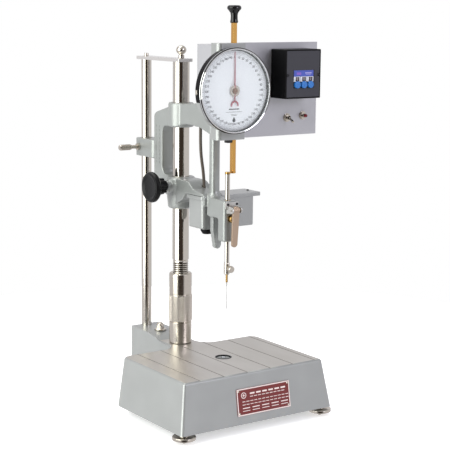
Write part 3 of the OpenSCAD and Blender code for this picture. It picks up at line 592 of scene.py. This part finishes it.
def skinned(bm, rings):
    """The bmesh with walls from ring to ring and a cap at each end."""
    for low, high in zip(rings, rings[1:]):
        for k in range(len(low)):
            bm.faces.new((low[k - 1], low[k], high[k], high[k - 1]))
    bm.faces.new(rings[0])
    bm.faces.new(rings[-1])
    bmesh.ops.recalc_face_normals(bm, faces=bm.faces)
    return bm


def slab(outline_mm, low_mm, high_mm):
    """A flat outline given thickness between two heights."""
    bm = bmesh.new()
    rings = [[bm.verts.new((x * MM, y * MM, h * MM)) for x, y in outline_mm] for h in (low_mm, high_mm)]
    return skinned(bm, rings)


def lathe(outline_mm, is_ring, steps):
    """An outline in millimetres, spun about Z at the middle."""
    outline = [(r * MM, h * MM) for r, h in outline_mm]
    return spun(outline, is_ring, steps, Matrix.Identity(3), Vector((0, 0, 0)))


def arc(radius, first, last, step, y=0.0):
    """Points in millimetres on a circle about (0, y), from one angle in degrees to another."""
    turns = [math.radians(a) for a in range(first, last, step)]
    return [(radius * math.cos(a), y + radius * math.sin(a)) for a in turns]


def shift(x, y, z):
    """A move by millimetres."""
    return Matrix.Translation(Vector((x, y, z)) * MM)


def ring(r0, r1, low_mm, high_mm, start=0.0, end=360.0, steps=144):
    """A ring of rectangular section, whole or over part of the circle."""
    section = ((r0, low_mm), (r1, low_mm), (r1, high_mm), (r0, high_mm))
    if end - start >= 360:
        return lathe(section, True, steps)
    bm = bmesh.new()
    rows = []
    for i in range(steps + 1):
        a = math.radians(start + (end - start) * i / steps)
        rows.append([bm.verts.new((r * math.cos(a) * MM, r * math.sin(a) * MM, h * MM)) for r, h in section])
    return skinned(bm, rows)


def painted(bm, index):
    """Gives every face of a bmesh one material number."""
    for face in bm.faces:
        face.material_index = index
    return bm


def joined(*parts):
    """Several bmeshes as one."""
    whole = parts[0]
    for part in parts[1:]:
        mesh = as_mesh("part", part)
        whole.from_mesh(mesh)
        bpy.data.meshes.remove(mesh)
    return whole


def moved(bm, matrix):
    """The bmesh after a turn or a shift."""
    bm.transform(matrix)
    return bm


def cut(bm, tool):
    """The bmesh less a tool's volume."""
    objects = [linked("cut_part", as_mesh("cut_part", part)) for part in (bm, tool)]
    modifier = objects[0].modifiers.new("cut", "BOOLEAN")
    modifier.operation = "DIFFERENCE"
    modifier.solver = "EXACT"
    modifier.object = objects[1]
    result = baked(objects[0])
    for thing in objects:
        bpy.data.objects.remove(thing)
    return result


print("origin at", [round(v, 4) for v in ORIGIN])

# %% [markdown]
# What repeats is made by one Geometry Nodes group: the teeth of a knurl, the divisions of the dial, the
# dashes of cast marks. It sets copies of a small pattern one after another, and each copy is turned and
# stepped on from the one before. A turn alone gives a ring, a step alone gives a row, and both give a helix.

# %% One group for rings, rows and helices
repeat = bpy.data.node_groups.new("turn_and_step", "GeometryNodeTree")
repeat.interface.new_socket("Geometry", in_out="OUTPUT", socket_type="NodeSocketGeometry")
REPEAT_ID = {label: repeat.interface.new_socket(label, in_out="INPUT", socket_type=kind).identifier
             for label, kind in (("Pattern", "NodeSocketObject"), ("Count", "NodeSocketInt"),
                                 ("Radius", "NodeSocketFloat"), ("Turn", "NodeSocketFloat"),
                                 ("Step", "NodeSocketVector"), ("Finish", "NodeSocketMaterial"))}
given = add_node(repeat, "NodeGroupInput")
number = add_node(repeat, "GeometryNodeInputIndex")
angle = add_node(repeat, "ShaderNodeMath", {0: number.outputs[0], 1: given.outputs["Turn"]},
                 operation="MULTIPLY")
facing = add_node(repeat, "ShaderNodeCombineXYZ", {"Z": angle.outputs[0]})
arm = add_node(repeat, "ShaderNodeCombineXYZ", {"X": given.outputs["Radius"]})
around_axis = add_node(repeat, "ShaderNodeVectorRotate", {"Vector": arm.outputs[0],
                                                          "Angle": angle.outputs[0]}, rotation_type="Z_AXIS")
stepped = add_node(repeat, "ShaderNodeVectorMath", {0: given.outputs["Step"], "Scale": number.outputs[0]},
                   operation="SCALE")
spot = add_node(repeat, "ShaderNodeVectorMath", {0: around_axis.outputs[0], 1: stepped.outputs[0]},
                operation="ADD")
points = add_node(repeat, "GeometryNodePoints", {"Count": given.outputs["Count"],
                                                 "Position": spot.outputs[0]})
pattern_in = add_node(repeat, "GeometryNodeObjectInfo", {"Object": given.outputs["Pattern"]})
copies = add_node(repeat, "GeometryNodeInstanceOnPoints", {
    "Points": points.outputs[0], "Instance": pattern_in.outputs["Geometry"], "Rotation": facing.outputs[0]})
real = add_node(repeat, "GeometryNodeRealizeInstances", {0: copies.outputs[0]})
coated = add_node(repeat, "GeometryNodeSetMaterial", {"Geometry": real.outputs[0],
                                                      "Material": given.outputs["Finish"]})
add_node(repeat, "NodeGroupOutput", {"Geometry": coated.outputs[0]})


def repeated(pattern, count, finish, radius_mm=0.0, turn=0.0, step_mm=(0, 0, 0)):
    """Copies of a small bmesh on a ring, along a row or on a helix about Z, as one bmesh."""
    holder = linked("pattern", as_mesh("pattern", pattern))
    carrier = linked("carrier", bpy.data.meshes.new("carrier"))
    modifier = carrier.modifiers.new("repeat", "NODES")
    modifier.node_group = repeat
    values = {"Pattern": holder, "Count": count, "Radius": radius_mm * MM, "Turn": turn,
              "Step": [s * MM for s in step_mm], "Finish": finish}
    for label, value in values.items():
        modifier[REPEAT_ID[label]] = value
    bm = baked(carrier)
    carrier.modifiers.remove(modifier)
    for thing in (holder, carrier):
        bpy.data.objects.remove(thing)
    return bm


print("inputs", ", ".join(REPEAT_ID))

# %% [markdown]
# The nut that lifts the column has a band of diamond knurl, and the levelling discs and small thumb screws
# have straight knurls. A knurl is rolled in by two hard wheels, so its points stand a little proud. The
# diamonds lie on one helix with a half diamond to spare in each turn, which staggers every row by itself.

# %% Knurls
def diamond(wide_mm, tall_mm, proud_mm):
    """One point of a diamond knurl, which stands out along X."""
    bm = bmesh.new()
    corners = [bm.verts.new((-0.2 * MM, y * MM, z * MM))
               for y, z in ((-wide_mm / 2, 0), (0, -tall_mm / 2), (wide_mm / 2, 0), (0, tall_mm / 2))]
    tip = bm.verts.new((proud_mm * MM, 0, 0))
    for i in range(4):
        bm.faces.new((corners[i - 1], corners[i], tip))
    bm.faces.new(corners)
    bmesh.ops.recalc_face_normals(bm, faces=bm.faces)
    return bm


nut_low, nut_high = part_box("adjusting_nut")
nut_r = (nut_high.x - nut_low.x) / 2 / MM
per_turn = 56.5
row_mm = 1.9
band_low, band_high = 107.4, 147.6
nut_points = int((band_high - band_low) / row_mm * per_turn)
knurl = repeated(diamond(1.9, 2 * row_mm, 0.42), nut_points, knurled_nickel, nut_r, 2 * math.pi / per_turn,
                 (0, 0, row_mm / per_turn))
knurl.transform(Matrix.Translation(at(0, 0, band_low)))
new_piece("adjusting_nut_knurl", knurl, [knurled_nickel], "adjusting_nut")

FOOT_TEETH, GUIDE_TEETH, CHUCK_TEETH = 64, 28, 26
for foot in ("foot_front_left", "foot_front_right", "foot_rear"):
    low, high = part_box(foot)
    disc_r = (high.x - low.x) / 2 / MM
    teeth = repeated(block((0.7, 0.9, 3.2), edge_mm=0.25), FOOT_TEETH, knurled_nickel, disc_r - 0.45,
                     math.radians(360 / FOOT_TEETH))
    teeth.transform(Matrix.Translation(((low.x + high.x) / 2, (low.y + high.y) / 2, ORIGIN.z - 6.1 * MM)))
    new_piece(foot + "_knurl", teeth, [knurled_nickel], foot)

grip = repeated(block((0.5, 0.7, 17), edge_mm=0.2), GUIDE_TEETH, knurled_nickel, 4.35,
                math.radians(360 / GUIDE_TEETH))
grip.transform(Matrix.Translation(at(0, 100.6, 369)) @ TO_LEFT @ shift(0, 0, 39.5))
new_piece("guide_screw_knurl", grip, [knurled_nickel], "guide_screw")
head_grip = repeated(block((0.5, 0.7, 3.8), edge_mm=0.2), CHUCK_TEETH, knurled_nickel, 4.75,
                     math.radians(360 / CHUCK_TEETH))
head_grip.transform(Matrix.Translation(at(0, -125, 210)) @ TO_FRONT @ shift(0, 0, 10.2))
new_piece("chuck_screw_knurl", head_grip, [knurled_nickel], "chuck_screw")
print("four kinds of knurl; the nut has", nut_points, "points")

# %% [markdown]
# The base is one iron casting. Its sides keep the rounded edge of the foundry's pattern under the paint, and
# its top is planed bare with six fine grooves that run from front to back. The edge can only be rounded in
# one sweep on a top without grooves, so they are filled first, and cut again after the edge is made.

# %% Base casting
groove_pitch, groove_wide, groove_deep = 40.9, 1.3, 0.7
table_z = nut_low.z - 0.3 * MM
base = welded("base_casting")
for vert in base.verts:
    if table_z - 0.8 * MM < vert.co.z < table_z - 0.6 * MM:
        vert.co.z = table_z
bmesh.ops.remove_doubles(base, verts=base.verts, dist=0.16 * MM)
flattened(base, 0.6)


def is_table_edge(edge):
    """An edge round the planed top, but not one of its bores."""
    if any(abs(v.co.z - table_z) > 0.05 * MM for v in edge.verts):
        return False
    middle = (edge.verts[0].co + edge.verts[1].co) / 2 - ORIGIN
    in_level = math.hypot(middle.x - 5 * MM, middle.y + 111 * MM) < 14 * MM
    in_column = math.hypot(middle.x, middle.y) < 14 * MM
    return not in_level and not in_column and middle.y < 24 * MM


print(break_edges(base, 3.2, sharp=35, segments=5, only=is_table_edge), "edges of the top rounded")
grooves = repeated(block((groove_wide, 190, 2 * groove_deep)), 6, table_iron, step_mm=(groove_pitch, 0, 0))
grooves.transform(Matrix.Translation(at(7.2 - 2.5 * groove_pitch, -105, 72)))
base = cut(base, grooves)
for face in base.faces:
    middle = face.calc_center_median()
    on_table = middle.z > table_z - 0.9 * MM and middle.y < ORIGIN.y + 20 * MM
    face.material_index = 1 if on_table and face.normal.z > 0.999 else 0
    # The walls of the grooves take a dark finish, a painted shade.
    if on_table and abs(face.normal.z) < 0.3 and middle.z < table_z:
        face.material_index = 2
# Painted shade for the walls of the grooves.
groove_shade = new_finish("groove_wall_painted_shade", "#5B554D", 0.6)[0]
piece = new_piece("base_casting_finished", base, [base_enamel, table_iron, groove_shade], "base",
                  40)
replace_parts(piece, "base_casting")

# %% [markdown]
# The head is a sand casting as well, and all its corners are rounded in the mould. To round them where arms,
# blocks and bosses run into each other, the whole is drawn over with a fine even mesh and relaxed a little,
# as a coat of filler and paint would do. The machined bores are then opened to their size again.

# %% Head casting
def evened(node, grid_mm, relax):
    """A copy of a CAD node on a fine even mesh, relaxed so that its corners are round."""
    thing = linked("even", as_mesh("even", welded(node)))
    remesh = thing.modifiers.new("even", "REMESH")
    remesh.mode = "VOXEL"
    remesh.voxel_size = grid_mm * MM
    smooth = thing.modifiers.new("relax", "SMOOTH")
    smooth.factor = 0.5
    smooth.iterations = relax
    result = baked(thing)
    bpy.data.objects.remove(thing)
    return result


head = evened("head_casting", 1.3, 3)
rod_low, rod_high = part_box("guide_rod")
stem_low, stem_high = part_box("stem")
rod_middle, stem_middle = (rod_low + rod_high) / 2, (stem_low + stem_high) / 2
BORES = [(ORIGIN, (column_high.x - column_low.x) / 2 + 0.06 * MM),
         (rod_middle, (rod_high.x - rod_low.x) / 2 + 0.06 * MM), (stem_middle, 5.02 * MM)]
for vert in head.verts:
    for middle, radius in BORES:
        arm_out = Vector((vert.co.x - middle.x, vert.co.y - middle.y))
        if arm_out.length < radius:
            arm_out = arm_out.normalized() * radius
            vert.co.x = middle.x + arm_out.x
            vert.co.y = middle.y + arm_out.y
piece = new_piece("head_casting_finished", head, [head_enamel], "head", 60)
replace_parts(piece, "head_casting")
print("head on an even mesh of", len(piece.data.polygons), "faces")
dashes = joined(*(moved(repeated(block((0.9, 1.5, 3.4), edge_mm=0.35), 10, head_enamel, step_mm=(0, 0, 6.2)),
                        Matrix.Translation(at(-12.1, y, 350))) for y in (43.5, 52.5)))
new_piece("spine_cast_marks", dashes, [head_enamel], "head")

# %% [markdown]
# The rest of the metalwork is sawn, milled or folded, and has its edges broken with a file or a belt. Each
# of these nodes is copied with a small rounded edge, wide on plates and narrow on little bushings.

# %% Filed and folded pieces
FILED = [
    ("chassis_panel", sheet_enamel, "sheet_paint", 0.35), ("timer_case", case_abs, "timer_black", 0.6),
    ("timer_front", front_abs, "timer_grey", 0.35), ("solenoid_box", base_enamel, "head_paint", 0.8),
    ("solenoid_lid", base_enamel, "head_paint", 0.8), ("tie_strap", bright_strap, "ground_steel", 0.5),
    ("lever_bracket", bracket_aluminium, "ground_steel", 0.3),
    ("release_lever", lever_nickel, "lever_nickel", 0.5),
    ("rack_bar", rack_brass, "brass", 0.12), ("bump_stop", buffer_rubber, "black_plastic", 0.6),
    ("toggle_bushing", screw_nickel, "nickel", 0.2), ("button_bushing", screw_nickel, "nickel", 0.2),
    ("nameplate", plate_maroon, "plate_maroon", 0.15), ("dial_face", card_white, "dial_white", 0.1),
    ("chuck", turned_nickel, "nickel", 0.2), ("rod_clamp_bolt", screw_nickel, "nickel", 0.2),
]
for node, material, slot, width_mm in FILED:
    piece = deburred(node, material, width_mm)
    print(piece.name, len(piece.data.polygons), "faces")

# %% [markdown]
# The cover behind the panel is folded sheet. It steps up at the lower left, where the arm of the head comes
# in to carry the gear housing, and its back has a row of slots that let the relay's warmth out.

# %% Chassis cover
COVER = [(-19, 448), (14, 448), (14, 402), (170, 402), (170, 535), (-19, 535)]
HOLLOW = [(-17.4, 449.6), (15.6, 449.6), (15.6, 403.6), (168.4, 403.6), (168.4, 533.4), (-17.4, 533.4)]
cover = cut(slab(COVER, 72, 109), slab(HOLLOW, 73.6, 111))
vents = repeated(block((4.6, 22, 6), edge_mm=1.2), 6, sheet_enamel, step_mm=(14, 0, 0))
vents.transform(shift(62.5, 511, 72))
cover = cut(cover, vents)
cover.transform(Matrix.Translation(ORIGIN) @ TO_FRONT)
break_edges(cover, 0.3, sharp=40)
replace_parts(new_piece("chassis_cover_folded", cover, [sheet_enamel], "head"), "chassis_cover")

# %% [markdown]
# The gear housing carries the dial. Its seat is a ring that holds the lower half of the drum, and the drum
# itself is a black shell above that seat, with a rim all round. A small nickel stop sits on its left.

# %% Dial housing, drum and bezel
dial_low, dial_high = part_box("dial_face")
dial_middle = (dial_low + dial_high) / 2
HOUSING_FRONT = 130.5
DIAL = Matrix.Translation((dial_middle.x, ORIGIN.y - HOUSING_FRONT * MM, dial_middle.z)) @ TO_FRONT
seat_angle = math.degrees(math.asin(15.3 / 60.9))
housing = flattened(welded("gear_housing"))
break_edges(housing, 0.5)
seat = ring(56, 60.8, 4.6, 9.0, 180 + seat_angle, 360 - seat_angle, 96)
break_edges(seat, 0.4)
piece = new_piece("gear_housing_finished", joined(housing, moved(seat, DIAL)), [base_enamel], "head")
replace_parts(piece, "gear_housing")

drum = flattened(welded("dial_drum"))
shell = ring(58, 61, 0.2, 9.1, -seat_angle, 180 + seat_angle, 128)
break_edges(shell, 0.4)
rim = ring(57.7, 61, 9.1, 12.1)
break_edges(rim, 0.3)
stop = painted(block((3.4, 6.4, 4.2), (-60.7, -0.6, 4.6), 0.4), 1)
rest = block((1.6, 6.5, 3), (56.9, 4.6, 10.6), 0.3)
drum = joined(drum, *(moved(part, DIAL) for part in (shell, rim, stop, rest)))
piece = new_piece("dial_drum_finished", drum, [drum_enamel, screw_nickel], "head")
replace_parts(piece, "dial_drum")

BEZEL = [(59.4, 12.2), (62, 12.2), (62, 13.2), (61.7, 13.6), (61.3, 13.5), (60.5, 13.6), (60.3, 14.6),
         (59.8, 15.2), (58.9, 14.9), (58.3, 13.45), (59.4, 13.45)]
bezel = lathe(BEZEL, True, 192)
# Faces in the bezel's groove take black enamel: a painted shade in the groove.
for face in bezel.faces:
    spot = face.calc_center_median() / MM
    groove_painted_shade = 60.35 < math.hypot(spot.x, spot.y) < 61.75 and spot.z > 13.3
    face.material_index = 1 if groove_painted_shade else 0
bezel.transform(DIAL)
piece = new_piece("dial_bezel_spun", bezel, [bezel_chrome, drum_enamel], "head", 24)
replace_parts(piece, "dial_bezel")
print("dial centre", [round(v, 4) for v in dial_middle])

# %% [markdown]
# The card is printed in one pull of black ink: four hundred divisions, of which every tenth is longer and
# numbered, two fine circles, plain rules where a maker's lines would be, and a drop at the foot. Figures are
# set upright, as on a clock. The ink stands a few hundredths of a millimetre proud so that it never flickers.

# %% Printing on the card
def lettering(words, tall_mm, centre_mm):
    """Upright figures as flat mesh about a centre."""
    curve = bpy.data.curves.new("figures", "FONT")
    curve.body = words
    curve.size = tall_mm * MM * 1.38
    curve.align_x = "CENTER"
    curve.align_y = "CENTER"
    curve.extrude = 0.02 * MM
    curve.offset = 0.07 * MM
    holder = linked("figures", curve)
    bm = moved(baked(holder), shift(*centre_mm))
    bpy.data.objects.remove(holder)
    return bm


INK_HEIGHT, FIGURE_RING = 8.93, 47.6
fine = repeated(block((2.0, 0.1, 0.06)), 400, print_black, 54.2, math.radians(0.9))
middle_ticks = repeated(block((2.5, 0.14, 0.07)), 80, print_black, 53.7, math.radians(4.5))
long_ticks = repeated(block((3.2, 0.2, 0.08)), 40, print_black, 53.4, math.radians(9))
circles = [ring(r - 0.08, r + 0.08, -0.03, 0.03) for r in (51.4, 55.5)]
figures = []
for i in range(40):
    way_round = math.radians(90 - 9 * i)
    place = (FIGURE_RING * math.cos(way_round), FIGURE_RING * math.sin(way_round), 0)
    figures.append(lettering(str(10 * i), 3.3, place))
rules = [block((17.5, 1.5, 0.06), (0, -26, 0)), block((28, 0.5, 0.06), (0, -30.1, 0)),
         block((12, 0.45, 0.06), (0, -33.4, 0)), block((9, 0.45, 0.06), (0, -35.2, 0))]
rules.append(slab(arc(2.7, -205, 26, 10, -42.1) + [(0, -37.1)], -0.03, 0.03))
card = joined(fine, middle_ticks, long_ticks, *circles, *figures, *rules)
card.transform(DIAL @ shift(0, 0, INK_HEIGHT))
new_piece("dial_printing", card, [print_black], "head")
print("400 divisions and", len(figures), "figures")

# %% [markdown]
# Two hands turn on the same centre. The one behind is set by hand as the zero, and the one in front follows
# the rack. Both are thin lacquered strips with a crescent on the tail that balances them. The front hand is
# held by a nickel washer and a bronze boss with a screwdriver slot.

# %% Hands
def hand_blade(low_mm, high_mm, length=55.0):
    """A strip that narrows to its tip, with a crescent on its tail."""
    blade = slab([(-0.6, -15), (0.6, -15), (0.55, 4), (0.3, length), (-0.3, length), (-0.55, 4)],
                 low_mm, high_mm)
    crescent = arc(6.2, -18, 199, 9, -20) + arc(5.1, 196, -17, -9, -21.2)
    return joined(blade, slab(crescent, low_mm, high_mm))


zero = joined(hand_blade(9.35, 9.7), ring(2.1, 6.2, 9.35, 9.75, steps=64))
zero.transform(DIAL)
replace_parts(new_piece("zero_hand_lacquered", zero, [hand_pale], "zero_hand"), "zero_hand")
washer = ring(2.0, 8.2, 10.9, 11.2, steps=96)
break_edges(washer, 0.1)
boss = lathe([(0, 11.25), (4.4, 11.25), (4.4, 11.75), (3.9, 12.1), (0, 12.1)], False, 64)
bmesh.ops.remove_doubles(boss, verts=boss.verts, dist=0.001 * MM)
boss = cut(boss, block((9, 1.0, 0.5), (0, 0, 12.05)))
main = joined(hand_blade(11.25, 11.55, 56), painted(washer, 1), painted(boss, 2))
main.transform(DIAL)
piece = new_piece("main_hand_lacquered", main, [hand_red, turned_nickel, hub_bronze], "pinion")
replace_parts(piece, "main_hand")
print("two hands")

# %% [markdown]
# The timer is a bought-in unit of moulded plastic. Above its three push wheels there is a blue foil label
# with pale rules, and under that the white frames and dark wheels of a three-figure counter.

# %% Timer label and counter
timer_low, timer_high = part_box("timer_display")
label_middle = (timer_low + timer_high) / 2
wide = (timer_high.x - timer_low.x) / MM
FACE = Matrix.Translation((label_middle.x, timer_low.y, ORIGIN.z)) @ TO_FRONT
WHEEL_SPACING = 12.2
parts = [painted(block((wide, 9, 0.7), (0, 492.9, -0.35), 0.15), 0),
         painted(block((12, 1.6, 0.1), (8.5, 493.4, 0.03)), 1),
         painted(block((9, 0.6, 0.1), (8.5, 491.3, 0.03)), 1),
         painted(block((8, 3.6, 0.1), (-9, 492.6, 0.03)), 4)]
for i in (-1, 0, 1):
    x = WHEEL_SPACING * i
    frame_part = cut(block((11.6, 7.4, 0.7), (x, 484.6, -0.35), 0.15), block((7, 6, 2), (x + 0.8, 484.6, 0)))
    parts += [painted(frame_part, 2), painted(block((7.2, 6.2, 0.3), (x + 0.8, 484.6, -0.5)), 3),
              painted(lettering("0", 4.0, (x + 0.8, 484.6, -0.3)), 5)]
display = moved(joined(*parts), FACE)
piece = new_piece("timer_counter", display, [label_blue, label_pale, window_white, window_dark, label_violet,
                                             digit_pale], "head")
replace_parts(piece, "timer_display")
print("three counter wheels")

# %% [markdown]
# Small screws are slotted pan heads, all of them blackened: two on the timer, two on the bracket and one on
# the lid of the solenoid box.

# %% Screws
def pan_head(radius_mm):
    """A slotted pan head that stands on the plane of X and Y."""
    outline = [(0, 0), (radius_mm, 0), (radius_mm, 0.5), (radius_mm * 0.8, 1.3), (radius_mm * 0.4, 1.6),
               (0, 1.65)]
    bm = lathe(outline, False, 32)
    bmesh.ops.remove_doubles(bm, verts=bm.verts, dist=0.001 * MM)
    return cut(bm, block((radius_mm * 3, radius_mm * 0.34, 1.4), (0, 0, 1.65)))


def screws(radius_mm, places, turn):
    """Slotted screws at several places, with their slots turned a little from one to the next."""
    heads = []
    for i, place in enumerate(places):
        twist = Matrix.Rotation(math.radians(25 + 40 * i), 4, "Z")
        heads.append(moved(pan_head(radius_mm), Matrix.Translation(place) @ turn @ twist))
    return joined(*heads)


case_low, case_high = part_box("timer_case")
case_x = ((case_low.x + case_high.x) / 2 - ORIGIN.x) / MM
timer_y = (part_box("timer_front")[0].y - ORIGIN.y) / MM
lid_top = (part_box("solenoid_lid")[1].z - ORIGIN.z) / MM
dark = joined(screws(2.1, [at(case_x + s * 28.5, timer_y, 490.5) for s in (-1, 1)], TO_FRONT),
              screws(1.9, [at(x, -137.1, 306.5) for x in (-7.2, 8.4)], TO_FRONT),
              screws(2.0, [at(83, -60, lid_top)], Matrix.Identity(4)))
piece = new_piece("blackened_screws", dark, [black_screw], "head")
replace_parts(piece, "small_screws")
print("five slotted screws")

# %% [markdown]
# The plate on the front of the base is etched aluminium, filled with maroon enamel between a bare border and
# bare lines. Real words are left out, so rows of plain rules and a ring stand where they would be.

# %% Nameplate
BASE_TALL, BASE_DRAFT, plate_z = 72, 11, 31.5
wall_lean = Matrix.Rotation(-math.atan(BASE_DRAFT / BASE_TALL), 4, "X")
plate_middle = at(10, -211 + BASE_DRAFT * plate_z / BASE_TALL, plate_z)
PLATE = Matrix.Translation(plate_middle) @ wall_lean @ TO_FRONT @ shift(0, 0, 1.22)
border = cut(block((93.4, 38.4, 0.12), edge_mm=0.03), block((90.4, 35.4, 1)))
etched = [border, ring(3.4, 4.4, -0.06, 0.06, steps=48), block((4.6, 0.9, 0.12)), block((0.9, 4.6, 0.12))]
for part in etched[1:]:
    part.transform(shift(-35, 9.5, 0))
for y, start, count, step, tall in ((11, -24, 6, 11, 2.2), (6.6, -24, 9, 7, 1.0), (0.5, -38, 12, 7, 0.9),
                                    (-4, -38, 12, 7, 0.9), (-9, -38, 5, 17, 1.3), (-13, -38, 5, 17, 0.9)):
    rule = block((step * 0.74, tall, 0.12), (step * 0.37, 0, 0))
    etched.append(moved(repeated(rule, count, plate_bare, step_mm=(step, 0, 0)), shift(start, y, 0)))
new_piece("nameplate_etching", moved(joined(*etched), PLATE), [plate_bare], "base")
print("border, ring and rules")

# %% [markdown]
# The control cable leaves the arm, bends forward and enters the lid of the solenoid box. It is one smooth
# sheath, so its listed points are joined by a curve that passes through all of them.

# %% Control cable
ROUTE = [(-5, -61, 419), (-5, -61, 412), (-5, -61, 404), (-5, -61, 396), (-4.8, -61, 388), (-4.3, -60.8, 380),
         (-3.4, -60.4, 372), (-2.2, -60, 365), (-0.8, -59.4, 358), (0.8, -58.8, 351), (2.3, -58, 344),
         (3.6, -57.2, 337), (4.6, -56.5, 330), (5, -56, 323), (5, -56, 315), (5, -56, 306.2)]


def smooth_route(points_mm, between=4):
    """A curve through every point, with some more between each pair."""
    stops = [Vector(p) for p in points_mm]
    route = []
    for i in range(len(stops) - 1):
        a, b, c, d = stops[max(i - 1, 0)], stops[i], stops[i + 1], stops[min(i + 2, len(stops) - 1)]
        for k in range(between):
            t = k / between
            route.append(0.5 * (2 * b + (c - a) * t + (2 * a - 5 * b + 4 * c - d) * t ** 2
                                + (3 * b - a - 3 * c + d) * t ** 3))
    return [at(*p) for p in route + [stops[-1]]]


def sheath(route, radius_mm, sides=20):
    """A round sheath swept along a route."""
    bm = bmesh.new()
    rings = []
    for i, place in enumerate(route):
        heading = (route[min(i + 1, len(route) - 1)] - route[max(i - 1, 0)]).normalized()
        across = heading.cross(Vector((1, 0, 0))).normalized()
        other = heading.cross(across)
        rings.append([bm.verts.new(place + radius_mm * MM * (math.cos(a) * across + math.sin(a) * other))
                      for a in (2 * math.pi * k / sides for k in range(sides))])
    return skinned(bm, rings)


cable = new_piece("control_cable_sheath", sheath(smooth_route(ROUTE), 2.3), [cable_pvc], "head")
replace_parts(cable, "control_cable")

# %% [markdown]
# The round level has a dark ring printed on its glass. Inside that lies a white one, a painted highlight that
# stands for the bright rim of the bubble.

# %% Level ring
level_low, level_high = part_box("level_glass")
LEVEL = Matrix.Translation(((level_low.x + level_high.x) / 2, (level_low.y + level_high.y) / 2, level_high.z))
# The inner white ring is a painted highlight on the bubble.
mark = joined(ring(3.3, 3.6, -0.08, 0.03, steps=64), painted(ring(1.2, 2.4, -0.05, 0.02, steps=48), 1))
new_piece("level_ring", moved(mark, LEVEL), [print_black, window_white], "base")
print("level ring")

# %% [markdown]
# What is left is right as it comes from the design and only takes its finish: the phenolic knobs, the gears
# inside, the coil and the small pins.

# %% Finishes of the remaining CAD nodes
PLAIN = {
    "clamp_knob": phenolic, "guide_screw": screw_nickel, "rack_knob": knob_phenolic,
    "bearing_bushes": turned_brass, "pinion": turned_brass,
    "toggle_lever": screw_nickel, "solenoid": wound_copper, "cable_gland": case_abs,
    "stem_bushes": turned_brass, "lever_pin": screw_nickel, "nameplate_rivets": screw_nickel,
}
for node, material in PLAIN.items():
    frame["nodes"][node].data.materials.clear()
    frame["nodes"][node].data.materials.append(material)
print(len(PLAIN), "nodes finished as they are")
